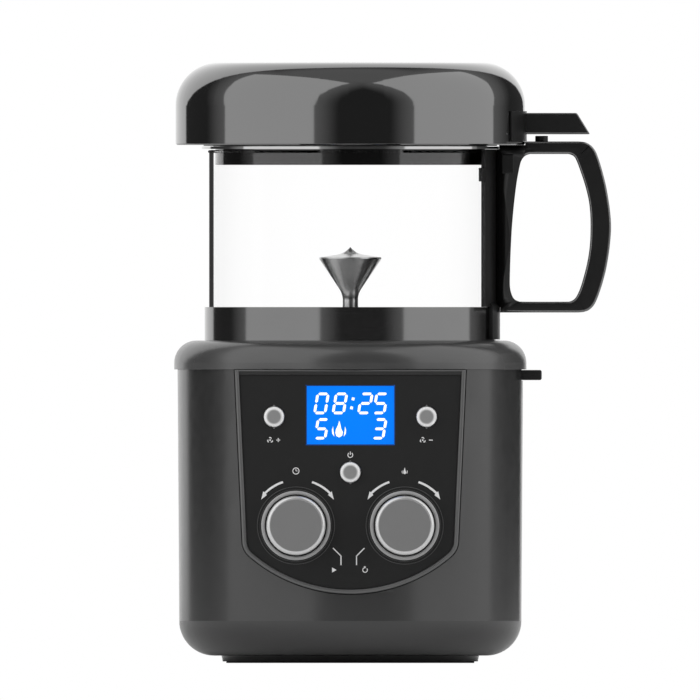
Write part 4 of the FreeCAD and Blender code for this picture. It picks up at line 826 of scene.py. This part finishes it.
def softbox(name, azimuth, width):
    """A tall soft light at an angle from the front, which is -Y, towards +X."""
    data = bpy.data.lights.new(name, "AREA")
    data.shape = "RECTANGLE"
    data.size, data.size_y = width, SOFTBOX_HEIGHT
    data.energy = math.pi * width * SOFTBOX_HEIGHT
    lamp = bpy.data.objects.new(name, data)
    lamp.visible_glossy = False
    bpy.context.scene.collection.objects.link(lamp)
    turn = math.radians(azimuth)
    lamp.location = (SOFTBOX_AWAY * math.sin(turn), -SOFTBOX_AWAY * math.cos(turn), SOFTBOX_LEVEL)
    aim = Vector((0, 0, SOFTBOX_LEVEL)) - lamp.location
    lamp.rotation_euler = aim.to_track_quat("-Z", "Y").to_euler()


def white_floor():
    """A pale floor that fades into the white round it and keeps the object's shadow."""
    bpy.ops.mesh.primitive_plane_add(size=6)
    floor = bpy.context.object
    floor.name = "floor"
    made = Shader("floor_white")
    away = made.distance_from((0, 0, 0), (1, 1, 0))
    fade = made.node("ShaderNodeMapRange", interpolation_type="SMOOTHSTEP")
    fade.inputs["From Min"].default_value = 0.12
    fade.inputs["From Max"].default_value = 0.3
    made.link(away, fade.inputs["Value"])
    made.link(made.mix(made.noise(40), 0.9, 0.93), made.bsdf.inputs["Base Color"])
    made.fixed(Roughness=0.8)
    bright = made.node("ShaderNodeEmission")
    path = made.node("ShaderNodeLightPath")
    strength = made.node("ShaderNodeMath", operation="MULTIPLY")
    made.link(path.outputs["Is Camera Ray"], strength.inputs[0])
    made.link(fade.outputs["Result"], strength.inputs[1])
    white = made.node("ShaderNodeMixShader")
    made.link(strength.outputs[0], white.inputs[0])
    made.link(made.bsdf.outputs[0], white.inputs[1]).link(bright.outputs[0], white.inputs[2])
    made.link(white.outputs[0], made.tree.nodes["Material Output"].inputs["Surface"])
    floor.data.materials.append(made.material)


PIXEL = 0.515 * MM
AXIS_PIXEL, TABLE_PIXEL, IMAGE = 350.3, 663.0, 700


def camera():
    """Level and square to the front, as from very far away."""
    data = bpy.data.cameras.new("photo_view")
    data.type = "ORTHO"
    data.ortho_scale = IMAGE * PIXEL
    data.clip_end = 20
    eye = bpy.data.objects.new("photo_view", data)
    bpy.context.scene.collection.objects.link(eye)
    eye.location = ((IMAGE / 2 - AXIS_PIXEL) * PIXEL, -3, (TABLE_PIXEL - IMAGE / 2) * PIXEL)
    eye.rotation_euler = (math.pi / 2, 0, 0)
    bpy.context.scene.camera = eye


bpy.context.scene.view_settings.view_transform = "Standard"
camera()
world_light()
softbox("left_softbox", -57, 1.25)
softbox("right_softbox", 77, 1.3)
white_floor()
dress_nodes()
display_segments()
panel_print()
bowed_handle()
back_strip()
tab_with_saddle()
glass_bead()
panel_rim()
seat_lines()
screen_shade()
